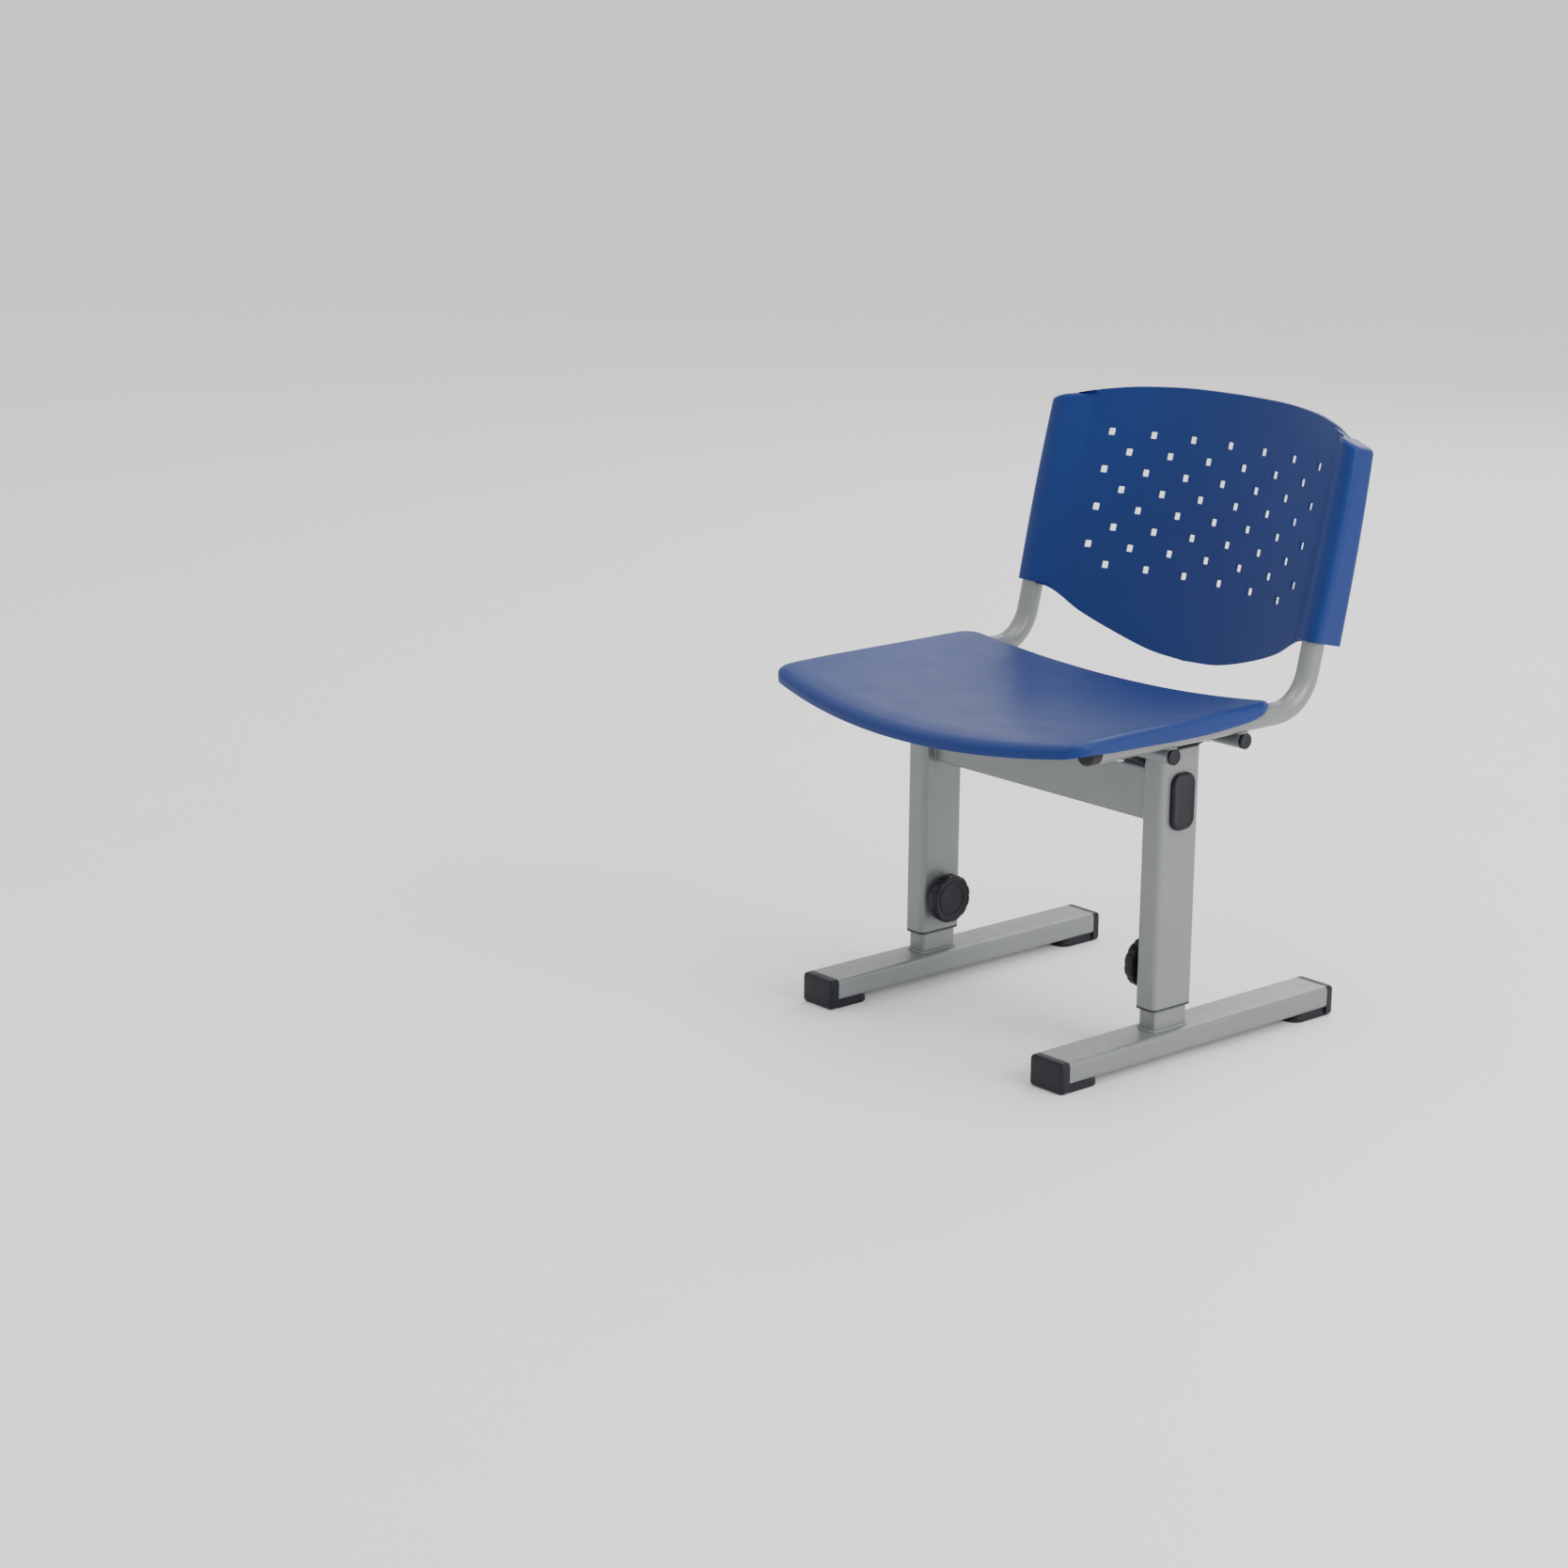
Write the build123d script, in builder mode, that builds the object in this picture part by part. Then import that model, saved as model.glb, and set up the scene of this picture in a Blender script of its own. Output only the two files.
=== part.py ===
"""Height-adjustable student desk chair on two telescoping columns.

Millimetres, +Z up, the sitter faces -Y. X = 0 is the plane between the two columns and Z = 0 is the floor.
The feet carry the inner columns. The outer columns, the crossbeam, the rails, the seat and the backrest
ride on them and are clamped by a knob on each side.
"""

import os
from math import asin, cos, degrees, hypot, radians, sin, sqrt, tan

from build123d import *

SIDES = (("left", -1), ("right", 1))

# Where the frame stands
COLUMN_X = 183.5  # column axis, either side of the middle
COLUMN_Y = -32.5  # column axis, behind the origin by minus this
TUBE_WALL = 1.5

# Feet
FOOT_W, FOOT_H, FOOT_R = 50.0, 25.0, 5.0
PAD_H = 10.0
FOOT_FRONT, FOOT_REAR = -166.0, 244.0  # tube ends, from the column axis
CAP_T = 12.0
PAD_L, PAD_W, PAD_R = 50.0, 46.0, 14.0
CAP_INSERT = 22.0
FOOT_TOP = PAD_H + FOOT_H

# Columns
INNER_W, INNER_D, INNER_R = 25.0, 50.0, 4.0
INNER_TOP = 246.0
OUTER_W, OUTER_D, OUTER_R = 30.0, 60.0, 7.0
OUTER_BOTTOM, OUTER_TOP = 61.0, 348.0
TRAVEL = 80.0
BUSH_FLANGE, BUSH_L = 2.5, 29.0
SLIDE_GAP = 0.1  # on each flat of the telescoping guides
GUIDE_H = 14.0
PLUG_FLANGE, PLUG_L = 3.0, 12.0

# Clamp knobs
KNOB_Z = 101.0
KNOB_D, KNOB_T = 57.0, 14.0
KNOB_HUB_D, KNOB_HUB_T = 24.0, 6.0
KNOB_LOBES = 12
STUD_D, STUD_HOLE = 8.0, 9.2
SLOT_W = 10.0
NUT_T, NUT_SIDE = 6.0, 24.0

# Crossbeam between the columns
BEAM_D, BEAM_H, BEAM_R = 30.0, 60.0, 4.0
BEAM_Z = 294.0
BEAM_WALL = 2.0
BEAM_PLATE = 6.0
BOLT_D, BOLT_HEAD_D, BOLT_HEAD_H = 8.0, 14.0, 4.0
BOLT_Z = (276.0, 306.0)
COVER_W, COVER_H, COVER_R, COVER_T = 34.0, 63.0, 13.0, 6.0

# Cross tubes under the seat and the plates that carry them
CROSS_D, CROSS_Z = 18.0, 350.0
CROSS_HALF = 220.0
CROSS_FRONT_Y, CROSS_REAR_Y = COLUMN_Y - 39.0, COLUMN_Y + 72.0
CROSS_PLUG_T = 4.0
BRACKET_T = 4.0
BRACKET_TOP, BRACKET_MARGIN = 361.5, 15.0

# Side rails, bent up into the backrest
RAIL_D, RAIL_X = 25.0, 216.0
RAIL_Z = CROSS_Z + CROSS_D / 2 + RAIL_D / 2
RAIL_FRONT = COLUMN_Y - 153.0
RAIL_CORNER = COLUMN_Y + 166.0
RAIL_BEND = 50.0
RAIL_TOP_Z = 630.0
POST_LEAN = 13.4  # degrees back from upright
RAIL_CAP_T = 16.0

# Seat shell
SEAT_HALF_W = 240.0
SEAT_T = 5.0
SEAT_EDGE_Z = 394.0
SEAT_REAR, SEAT_REAR_BOW = COLUMN_Y + 100.0, 12.0
SEAT_FRONT, SEAT_FRONT_BOW = COLUMN_Y - 200.0, 32.0
SEAT_DISH = 25.0
SEAT_LIP_DROP = 20.0
SKIRT_T = 4.0
SKIRT_REAR_H, SKIRT_FRONT_H = 20.0, 12.0
SEAT_CORNER_FRONT, SEAT_CORNER_REAR = 20.0, 22.0
SEAT_SCREW_Y = (COLUMN_Y - 115.0, COLUMN_Y + 20.0)
SEAT_SCREW_D, SEAT_SCREW_HEAD_D, SEAT_SCREW_HEAD_H = 4.8, 10.0, 3.0
SADDLE_L, SADDLE_W, SADDLE_H = 30.0, 34.0, 7.0

# Backrest shell
BACK_T = 5.0
BACK_RADIUS = 430.0  # plan curve of the face the sitter leans on
BACK_LEAN = 15.0
BACK_MID_Z, BACK_MID_Y = 546.0, COLUMN_Y + 256.0
BACK_TOP = ((0, 677), (90, 675), (155, 668), (200, 657), (222, 648))
BACK_BOTTOM = ((200, 442), (150, 417), (100, 396), (50, 383), (0, 379))
SLEEVE_W, SLEEVE_R, SLEEVE_BORE = 31.0, 12.0, 25.4
SLEEVE_BOTTOM_D, SLEEVE_TOP_D = 47.0, 37.0  # front to rear, widest at the mouth
SLEEVE_BOTTOM_Z, SLEEVE_TOP_Z = 442.0, 646.0
HOLE_SIDE = 7.0
HOLE_PITCH, HOLE_ROW = 53.6, 21.4
HOLE_TOP_Z, HOLE_ROWS, HOLE_LONG_ROW = 620.0, 8, 7
BACK_SCREW_Z = 466.0
BACK_SCREW_D, BACK_SCREW_HEAD_D, BACK_SCREW_HEAD_H = 4.0, 8.5, 2.4
BACK_SCREW_SEAT = 28.0  # head seat, behind the post axis

POST_DIR = (0, sin(radians(POST_LEAN)), cos(radians(POST_LEAN)))


def post_y(z):
    """Y of the rail's upright centre line at height z."""
    return RAIL_CORNER + (z - RAIL_Z) * tan(radians(POST_LEAN))


def across(x, y, z):
    """Plane facing the sitter's back (-Y), local axes X and Z."""
    return Plane(origin=(x, y, z), x_dir=(1, 0, 0), z_dir=(0, -1, 0))


def behind_post(side, z, distance):
    """Plane square to the post at height z, distance behind its axis, facing rearwards."""
    back = (0, cos(radians(POST_LEAN)), -sin(radians(POST_LEAN)))
    origin = (side * RAIL_X, post_y(z) + distance * back[1], z + distance * back[2])
    return Plane(origin=origin, x_dir=(1, 0, 0), z_dir=back)


def save(part, name):
    """Names the piece and writes its file."""
    part.label = name
    export_step(part, f"parts/{name}.step")


os.makedirs("parts", exist_ok=True)

# ---------------------------------------------------------------- feet
for side, s in SIDES:
    x = s * COLUMN_X
    front, rear = COLUMN_Y + FOOT_FRONT, COLUMN_Y + FOOT_REAR
    tube_z = PAD_H + FOOT_H / 2

    with BuildPart() as foot_tube:
        with BuildSketch(across(x, front, tube_z)):
            RectangleRounded(FOOT_W, FOOT_H, FOOT_R)
            RectangleRounded(
                FOOT_W - 2 * TUBE_WALL, FOOT_H - 2 * TUBE_WALL, FOOT_R - TUBE_WALL, mode=Mode.SUBTRACT
            )
        extrude(amount=front - rear)
    save(foot_tube.part, f"{side}_foot_tube")

    # Each cap closes a tube end, fills it for a short way and carries the pad that stands on the floor.
    for end, y, d in (("front", front, -1), ("rear", rear, 1)):
        with BuildPart() as foot_cap:
            with BuildSketch(across(x, y, FOOT_TOP / 2)):
                RectangleRounded(FOOT_W, FOOT_TOP, FOOT_R)
            extrude(amount=-d * CAP_T)
            chamfer(foot_cap.faces().sort_by(Axis.Y)[-1 if d > 0 else 0].edges(), 1.5)
            with BuildSketch(across(x, y, tube_z)):
                RectangleRounded(
                    FOOT_W - 2 * TUBE_WALL - 0.2, FOOT_H - 2 * TUBE_WALL - 0.2, FOOT_R - TUBE_WALL
                )
            extrude(amount=d * CAP_INSERT)
            with BuildSketch(Plane.XY):
                with Locations((x, y - d * PAD_L / 2)):
                    pad = Rectangle(PAD_W, PAD_L)
                fillet(pad.vertices().group_by(Axis.Y)[0 if d > 0 else -1], PAD_R)
            extrude(amount=PAD_H)
        save(foot_cap.part, f"{side}_{end}_foot_cap")

# ---------------------------------------------------------------- telescoping columns
for side, s in SIDES:
    x = s * COLUMN_X

    with BuildPart() as inner_column:
        with BuildSketch(Plane.XY.offset(FOOT_TOP)):
            with Locations((x, COLUMN_Y)):
                RectangleRounded(INNER_W, INNER_D, INNER_R)
                RectangleRounded(
                    INNER_W - 2 * TUBE_WALL, INNER_D - 2 * TUBE_WALL, INNER_R - TUBE_WALL, mode=Mode.SUBTRACT
                )
        extrude(amount=INNER_TOP - FOOT_TOP)
        # The clamp stud runs in this slot over the whole travel.
        with BuildSketch(Plane.YZ.offset(s * (COLUMN_X - INNER_W / 2))):
            with Locations((COLUMN_Y, KNOB_Z + TRAVEL / 2)):
                SlotCenterToCenter(TRAVEL + 4, SLOT_W, rotation=90)
        extrude(amount=TUBE_WALL + 1, both=True, mode=Mode.SUBTRACT)
    save(inner_column.part, f"{side}_inner_column")

    with BuildPart() as column_guide:
        with BuildSketch(Plane.XY.offset(INNER_TOP)):
            with Locations((x, COLUMN_Y)):
                Rectangle(OUTER_W - 2 * (TUBE_WALL + SLIDE_GAP), OUTER_D - 2 * (TUBE_WALL + SLIDE_GAP))
        extrude(amount=GUIDE_H)
        chamfer(column_guide.edges().filter_by(Axis.Z), 6.2)
        with BuildSketch(Plane.XY.offset(INNER_TOP)):
            with Locations((x, COLUMN_Y)):
                RectangleRounded(
                    INNER_W - 2 * TUBE_WALL - 0.2, INNER_D - 2 * TUBE_WALL - 0.2, INNER_R - TUBE_WALL
                )
        extrude(amount=-PLUG_L)
    save(column_guide.part, f"{side}_column_guide")

    with BuildPart() as outer_column:
        with BuildSketch(Plane.XY.offset(OUTER_BOTTOM)):
            with Locations((x, COLUMN_Y)):
                RectangleRounded(OUTER_W, OUTER_D, OUTER_R)
                RectangleRounded(
                    OUTER_W - 2 * TUBE_WALL, OUTER_D - 2 * TUBE_WALL, OUTER_R - TUBE_WALL, mode=Mode.SUBTRACT
                )
        extrude(amount=OUTER_TOP - OUTER_BOTTOM)
        with BuildSketch(Plane.YZ.offset(s * (COLUMN_X - OUTER_W / 2))):
            with Locations((COLUMN_Y, KNOB_Z)):
                Circle(STUD_HOLE / 2)
        extrude(amount=TUBE_WALL + 0.5, both=True, mode=Mode.SUBTRACT)
        with BuildSketch(Plane.YZ.offset(x)):
            with Locations(*[(COLUMN_Y, z) for z in BOLT_Z]):
                Circle(BOLT_D / 2 + 0.2)
        extrude(amount=OUTER_W, both=True, mode=Mode.SUBTRACT)
    save(outer_column.part, f"{side}_outer_column")

    # Plastic sleeve in the mouth of the outer column; the inner column slides in it.
    with BuildPart() as bushing:
        with BuildSketch(Plane.XY.offset(OUTER_BOTTOM)):
            with Locations((x, COLUMN_Y)):
                RectangleRounded(OUTER_W, OUTER_D, OUTER_R)
        extrude(amount=-BUSH_FLANGE)
        with BuildSketch(Plane.XY.offset(OUTER_BOTTOM)):
            with Locations((x, COLUMN_Y)):
                RectangleRounded(OUTER_W - 2 * TUBE_WALL, OUTER_D - 2 * TUBE_WALL, OUTER_R - TUBE_WALL)
        extrude(amount=BUSH_L)
        with BuildSketch(Plane.XY.offset(OUTER_BOTTOM - BUSH_FLANGE)):
            with Locations((x, COLUMN_Y)):
                bore = Rectangle(INNER_W + 2 * SLIDE_GAP, INNER_D + 2 * SLIDE_GAP)
            chamfer(bore.vertices(), 1.2)
        extrude(amount=BUSH_FLANGE + BUSH_L, mode=Mode.SUBTRACT)
    save(bushing.part, f"{side}_column_bushing")

    with BuildPart() as top_plug:
        with BuildSketch(Plane.XY.offset(OUTER_TOP)):
            with Locations((x, COLUMN_Y)):
                RectangleRounded(OUTER_W, OUTER_D, OUTER_R)
        extrude(amount=PLUG_FLANGE)
        chamfer(top_plug.faces().sort_by(Axis.Z)[-1].edges(), 1.0)
        with BuildSketch(Plane.XY.offset(OUTER_TOP)):
            with Locations((x, COLUMN_Y)):
                RectangleRounded(
                    OUTER_W - 2 * TUBE_WALL - 0.2, OUTER_D - 2 * TUBE_WALL - 0.2, OUTER_R - TUBE_WALL
                )
        extrude(amount=-PLUG_L)
    save(top_plug.part, f"{side}_column_plug")

# ---------------------------------------------------------------- clamp knobs
for side, s in SIDES:
    wall_x = s * (COLUMN_X - OUTER_W / 2)  # face of the outer column towards the middle
    nut_x = s * (COLUMN_X - INNER_W / 2 + TUBE_WALL)

    with BuildPart() as knob:
        with BuildSketch(Plane.YZ.offset(wall_x)):
            with Locations((COLUMN_Y, KNOB_Z)):
                Circle(KNOB_HUB_D / 2)
                Circle(STUD_D / 2, mode=Mode.SUBTRACT)
        extrude(amount=-s * KNOB_HUB_T)
        with BuildSketch(Plane.YZ.offset(wall_x - s * KNOB_HUB_T)):
            with Locations((COLUMN_Y, KNOB_Z)):
                Circle(KNOB_D / 2)
        extrude(amount=-s * KNOB_T)
        chamfer(knob.faces().sort_by(Axis.X)[0 if s > 0 else -1].edges(), 2.0)
        with BuildSketch(Plane.YZ.offset(wall_x - s * KNOB_HUB_T)):
            with Locations((COLUMN_Y, KNOB_Z)):
                with PolarLocations(KNOB_D / 2 + 2.2, KNOB_LOBES):
                    Circle(3.4)
        extrude(amount=-s * KNOB_T, mode=Mode.SUBTRACT)
        with BuildSketch(Plane.YZ.offset(wall_x - s * KNOB_HUB_T)):
            with Locations((COLUMN_Y, KNOB_Z)):
                Circle(STUD_D / 2)
        extrude(amount=-s * (KNOB_T - 4), mode=Mode.SUBTRACT)
    save(knob.part, f"{side}_clamp_knob")

    with BuildPart() as stud:
        with BuildSketch(Plane.YZ.offset(wall_x - s * (KNOB_HUB_T + KNOB_T - 4))):
            with Locations((COLUMN_Y, KNOB_Z)):
                Circle(STUD_D / 2)
        extrude(amount=s * (KNOB_HUB_T + KNOB_T - 4 + abs(nut_x - wall_x) + NUT_T + 3))
    save(stud.part, f"{side}_clamp_stud")

    with BuildPart() as nut_plate:
        with BuildSketch(Plane.YZ.offset(nut_x)):
            with Locations((COLUMN_Y, KNOB_Z)):
                Rectangle(NUT_SIDE, NUT_SIDE)
                Circle(STUD_D / 2 + 0.08, mode=Mode.SUBTRACT)
        extrude(amount=s * NUT_T)
    save(nut_plate.part, f"{side}_clamp_nut_plate")

# ---------------------------------------------------------------- crossbeam
beam_half = COLUMN_X - OUTER_W / 2

with BuildPart() as crossbeam:
    with BuildSketch(Plane.YZ.offset(-beam_half)):
        with Locations((COLUMN_Y, BEAM_Z)):
            RectangleRounded(BEAM_D, BEAM_H, BEAM_R)
            RectangleRounded(
                BEAM_D - 2 * BEAM_WALL, BEAM_H - 2 * BEAM_WALL, BEAM_R - BEAM_WALL, mode=Mode.SUBTRACT
            )
    extrude(amount=2 * beam_half)
    for s in (-1, 1):
        with BuildSketch(Plane.YZ.offset(s * beam_half)):
            with Locations((COLUMN_Y, BEAM_Z)):
                RectangleRounded(BEAM_D, BEAM_H, BEAM_R)
            with Locations(*[(COLUMN_Y, z) for z in BOLT_Z]):
                Circle(BOLT_D / 2 + 0.05, mode=Mode.SUBTRACT)
        extrude(amount=-s * BEAM_PLATE)
save(crossbeam.part, "crossbeam")

with BuildPart() as beam_bolts:
    for s in (-1, 1):
        face_x = s * (COLUMN_X + OUTER_W / 2)
        with BuildSketch(Plane.YZ.offset(face_x)):
            with Locations(*[(COLUMN_Y, z) for z in BOLT_Z]):
                Circle(BOLT_HEAD_D / 2)
        extrude(amount=s * BOLT_HEAD_H)
        with BuildSketch(Plane.YZ.offset(face_x)):
            with Locations(*[(COLUMN_Y, z) for z in BOLT_Z]):
                Circle(BOLT_D / 2)
        extrude(amount=-s * (OUTER_W + BEAM_PLATE + 8))
save(beam_bolts.part, "beam_bolts")

for side, s in SIDES:
    face_x = s * (COLUMN_X + OUTER_W / 2)

    # Hollow cover snapped over the two bolt heads.
    with BuildPart() as bolt_cover:
        with BuildSketch(Plane.YZ.offset(face_x)):
            with Locations((COLUMN_Y, (BOLT_Z[0] + BOLT_Z[1]) / 2)):
                RectangleRounded(COVER_W, COVER_H, COVER_R)
        extrude(amount=s * COVER_T)
        chamfer(bolt_cover.faces().sort_by(Axis.X)[-1 if s > 0 else 0].edges(), 1.2)
        with BuildSketch(Plane.YZ.offset(face_x)):
            with Locations((COLUMN_Y, (BOLT_Z[0] + BOLT_Z[1]) / 2)):
                RectangleRounded(COVER_W - 6, COVER_H - 6, COVER_R - 3)
        extrude(amount=s * (COVER_T - 1.6), mode=Mode.SUBTRACT)
    save(bolt_cover.part, f"{side}_bolt_cover")

# ---------------------------------------------------------------- seat support
for side, s in SIDES:
    plate_x = s * beam_half

    # Plate welded to the beam and the column; both cross tubes pass through it.
    with BuildPart() as bracket:
        with BuildSketch(Plane.YZ.offset(plate_x)):
            with BuildLine():
                Polyline(
                    (COLUMN_Y - BEAM_D / 2, BEAM_Z + BEAM_H / 2),
                    (COLUMN_Y + BEAM_D / 2, BEAM_Z + BEAM_H / 2),
                    (CROSS_REAR_Y + BRACKET_MARGIN, CROSS_Z - 4),
                    (CROSS_REAR_Y + BRACKET_MARGIN, BRACKET_TOP),
                    (CROSS_FRONT_Y - BRACKET_MARGIN, BRACKET_TOP),
                    (CROSS_FRONT_Y - BRACKET_MARGIN, CROSS_Z - 8),
                    close=True,
                )
            make_face()
            with Locations((CROSS_FRONT_Y, CROSS_Z), (CROSS_REAR_Y, CROSS_Z)):
                Circle(CROSS_D / 2 + 0.05, mode=Mode.SUBTRACT)
        extrude(amount=-s * BRACKET_T)
    save(bracket.part, f"{side}_seat_bracket")

for end, y in (("front", CROSS_FRONT_Y), ("rear", CROSS_REAR_Y)):
    with BuildPart() as cross_tube:
        with BuildSketch(Plane.YZ.offset(-CROSS_HALF)):
            with Locations((y, CROSS_Z)):
                Circle(CROSS_D / 2)
                Circle(CROSS_D / 2 - TUBE_WALL, mode=Mode.SUBTRACT)
        extrude(amount=2 * CROSS_HALF)
    save(cross_tube.part, f"{end}_cross_tube")

with BuildPart() as cross_plugs:
    for s in (-1, 1):
        with BuildSketch(Plane.YZ.offset(s * CROSS_HALF)):
            with Locations((CROSS_FRONT_Y, CROSS_Z), (CROSS_REAR_Y, CROSS_Z)):
                Circle(CROSS_D / 2)
        extrude(amount=s * CROSS_PLUG_T)
        chamfer(cross_plugs.edges().group_by(Axis.X)[-1 if s > 0 else 0], 1.2)
        with BuildSketch(Plane.YZ.offset(s * CROSS_HALF)):
            with Locations((CROSS_FRONT_Y, CROSS_Z), (CROSS_REAR_Y, CROSS_Z)):
                Circle(CROSS_D / 2 - TUBE_WALL - 0.1)
        extrude(amount=-s * PLUG_L)
save(cross_plugs.part, "cross_tube_plugs")

# ---------------------------------------------------------------- rails
for side, s in SIDES:
    with BuildPart() as rail:
        with BuildLine(Plane.YZ.offset(s * RAIL_X)) as path:
            FilletPolyline(
                (RAIL_FRONT, RAIL_Z),
                (RAIL_CORNER, RAIL_Z),
                (post_y(RAIL_TOP_Z), RAIL_TOP_Z),
                radius=RAIL_BEND,
            )
        with BuildSketch(Plane(origin=path.line @ 0, z_dir=path.line % 0)):
            Circle(RAIL_D / 2)
            Circle(RAIL_D / 2 - TUBE_WALL, mode=Mode.SUBTRACT)
        sweep()
        with BuildSketch(Plane.XY.offset(RAIL_Z - RAIL_D)):
            with Locations(*[(s * RAIL_X, y) for y in SEAT_SCREW_Y]):
                Circle(SEAT_SCREW_D / 2 + 0.2)
        extrude(amount=2 * RAIL_D, mode=Mode.SUBTRACT)
        with BuildSketch(behind_post(s, BACK_SCREW_Z, 0)):
            Circle(BACK_SCREW_D / 2 + 0.1)
        extrude(amount=RAIL_D, mode=Mode.SUBTRACT)
    save(rail.part, f"{side}_rail")

with BuildPart() as rail_plugs:
    for s in (-1, 1):
        with BuildSketch(across(s * RAIL_X, RAIL_FRONT, RAIL_Z)):
            Circle(RAIL_D / 2)
        extrude(amount=RAIL_CAP_T)
        chamfer(rail_plugs.edges().group_by(Axis.Y)[0].filter_by_position(Axis.X, *sorted((0, s * 300))), 3.0)
        with BuildSketch(across(s * RAIL_X, RAIL_FRONT, RAIL_Z)):
            Circle(RAIL_D / 2 - TUBE_WALL - 0.1)
        extrude(amount=-PLUG_L)
save(rail_plugs.part, "rail_plugs")

# ---------------------------------------------------------------- seat


def seat_top(x):
    """Side profile of the seat's top at x, as (y, z) points from the rear edge to the front lip."""
    middle = 1 - (x / SEAT_HALF_W) ** 2
    rear = SEAT_REAR + SEAT_REAR_BOW * middle
    front = SEAT_FRONT - SEAT_FRONT_BOW * middle
    z = SEAT_EDGE_Z
    return (
        (rear, z - 0.78 * SEAT_DISH * middle),
        (rear - 0.10 * (rear - front), z - 0.88 * SEAT_DISH * middle),
        (rear - 0.35 * (rear - front), z - 1.00 * SEAT_DISH * middle),
        (rear - 0.60 * (rear - front), z - 0.92 * SEAT_DISH * middle),
        (rear - 0.82 * (rear - front), z - 0.5 - 0.80 * SEAT_DISH * middle),
        (rear - 0.94 * (rear - front), z - 2.0 - 0.76 * SEAT_DISH * middle),
        (front, z - 5.0 - SEAT_LIP_DROP * middle),
    )


def inset(points, distance):
    """The same profile moved inwards, square to itself, by distance."""
    moved = []
    for i, (y, z) in enumerate(points):
        (y0, z0), (y1, z1) = points[max(i - 1, 0)], points[min(i + 1, len(points) - 1)]
        length = hypot(y1 - y0, z1 - z0)
        moved.append((y - (z1 - z0) / length * distance, z + (y1 - y0) / length * distance))
    return moved


with BuildPart() as seat:
    for x in (-1.0, -0.75, -0.4, 0.0, 0.4, 0.75, 1.0):
        top = seat_top(x * SEAT_HALF_W)
        under = inset(top, SEAT_T)
        with BuildSketch(Plane.YZ.offset(x * SEAT_HALF_W)):
            with BuildLine():
                Spline(*top)
                Line(top[-1], under[-1])
                Spline(*under[::-1])
                Line(under[0], top[0])
            make_face()
    loft()
    # Turned-down skirts along the sides.
    for s in (-1, 1):
        top = seat_top(SEAT_HALF_W)
        low = [(y, z - SKIRT_REAR_H - (SKIRT_FRONT_H - SKIRT_REAR_H) * i / 6) for i, (y, z) in enumerate(top)]
        with BuildSketch(Plane.YZ.offset(s * SEAT_HALF_W)):
            with BuildLine():
                Spline(*top)
                Line(top[-1], low[-1])
                Spline(*low[::-1])
                Line(low[0], top[0])
            make_face()
        extrude(amount=-s * SKIRT_T)
        # Saddles that sit on the rail where the screws come up.
        for y in SEAT_SCREW_Y:
            with Locations((s * RAIL_X, y, RAIL_Z + 8)):
                Box(SADDLE_W, SADDLE_L, SADDLE_H, align=(Align.CENTER, Align.CENTER, Align.MIN))
    for s in (-1, 1):
        with BuildSketch(across(s * RAIL_X, RAIL_FRONT - RAIL_CAP_T - 1, RAIL_Z)):
            Circle(RAIL_D / 2)
        extrude(amount=-(SEAT_REAR + 30 - RAIL_FRONT), mode=Mode.SUBTRACT)
        with BuildSketch(Plane.XY.offset(RAIL_Z)):
            with Locations(*[(s * RAIL_X, y) for y in SEAT_SCREW_Y]):
                Circle(SEAT_SCREW_D / 2 + 0.05)
        extrude(amount=RAIL_D / 2 + 2.2, mode=Mode.SUBTRACT)
    # Plan outline: straight sides, bowed front and rear, rounded corners.
    with BuildSketch(Plane.XY.offset(SEAT_EDGE_Z - 120)) as outline:
        with BuildLine():
            ThreePointArc(
                (-SEAT_HALF_W, SEAT_REAR), (0, SEAT_REAR + SEAT_REAR_BOW), (SEAT_HALF_W, SEAT_REAR)
            )
            Line((SEAT_HALF_W, SEAT_REAR), (SEAT_HALF_W, SEAT_FRONT))
            ThreePointArc(
                (SEAT_HALF_W, SEAT_FRONT), (0, SEAT_FRONT - SEAT_FRONT_BOW), (-SEAT_HALF_W, SEAT_FRONT)
            )
            Line((-SEAT_HALF_W, SEAT_FRONT), (-SEAT_HALF_W, SEAT_REAR))
        make_face()
        fillet(outline.vertices().group_by(Axis.Y)[0], SEAT_CORNER_FRONT)
        fillet(outline.vertices().filter_by_position(Axis.Y, SEAT_REAR - 1, SEAT_REAR + 1), SEAT_CORNER_REAR)
    extrude(amount=160, mode=Mode.INTERSECT)
save(seat.part, "seat_shell")

with BuildPart() as seat_screws:
    for s in (-1, 1):
        with BuildSketch(Plane.XY.offset(RAIL_Z - RAIL_D / 2)):
            with Locations(*[(s * RAIL_X, y) for y in SEAT_SCREW_Y]):
                Circle(SEAT_SCREW_HEAD_D / 2)
        extrude(amount=-SEAT_SCREW_HEAD_H)
        with BuildSketch(Plane.XY.offset(RAIL_Z - RAIL_D / 2)):
            with Locations(*[(s * RAIL_X, y) for y in SEAT_SCREW_Y]):
                Circle(SEAT_SCREW_D / 2)
        extrude(amount=RAIL_D + 2)
save(seat_screws.part, "seat_screws")

# ---------------------------------------------------------------- backrest
lean = tan(radians(BACK_LEAN))
base_z = BACK_BOTTOM[-1][1] - 10
base_y = BACK_MID_Y + (base_z - BACK_MID_Z) * lean
rise = BACK_TOP[0][1] + 10 - base_z
half_arc = degrees(asin((RAIL_X + 4) / BACK_RADIUS))

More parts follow.
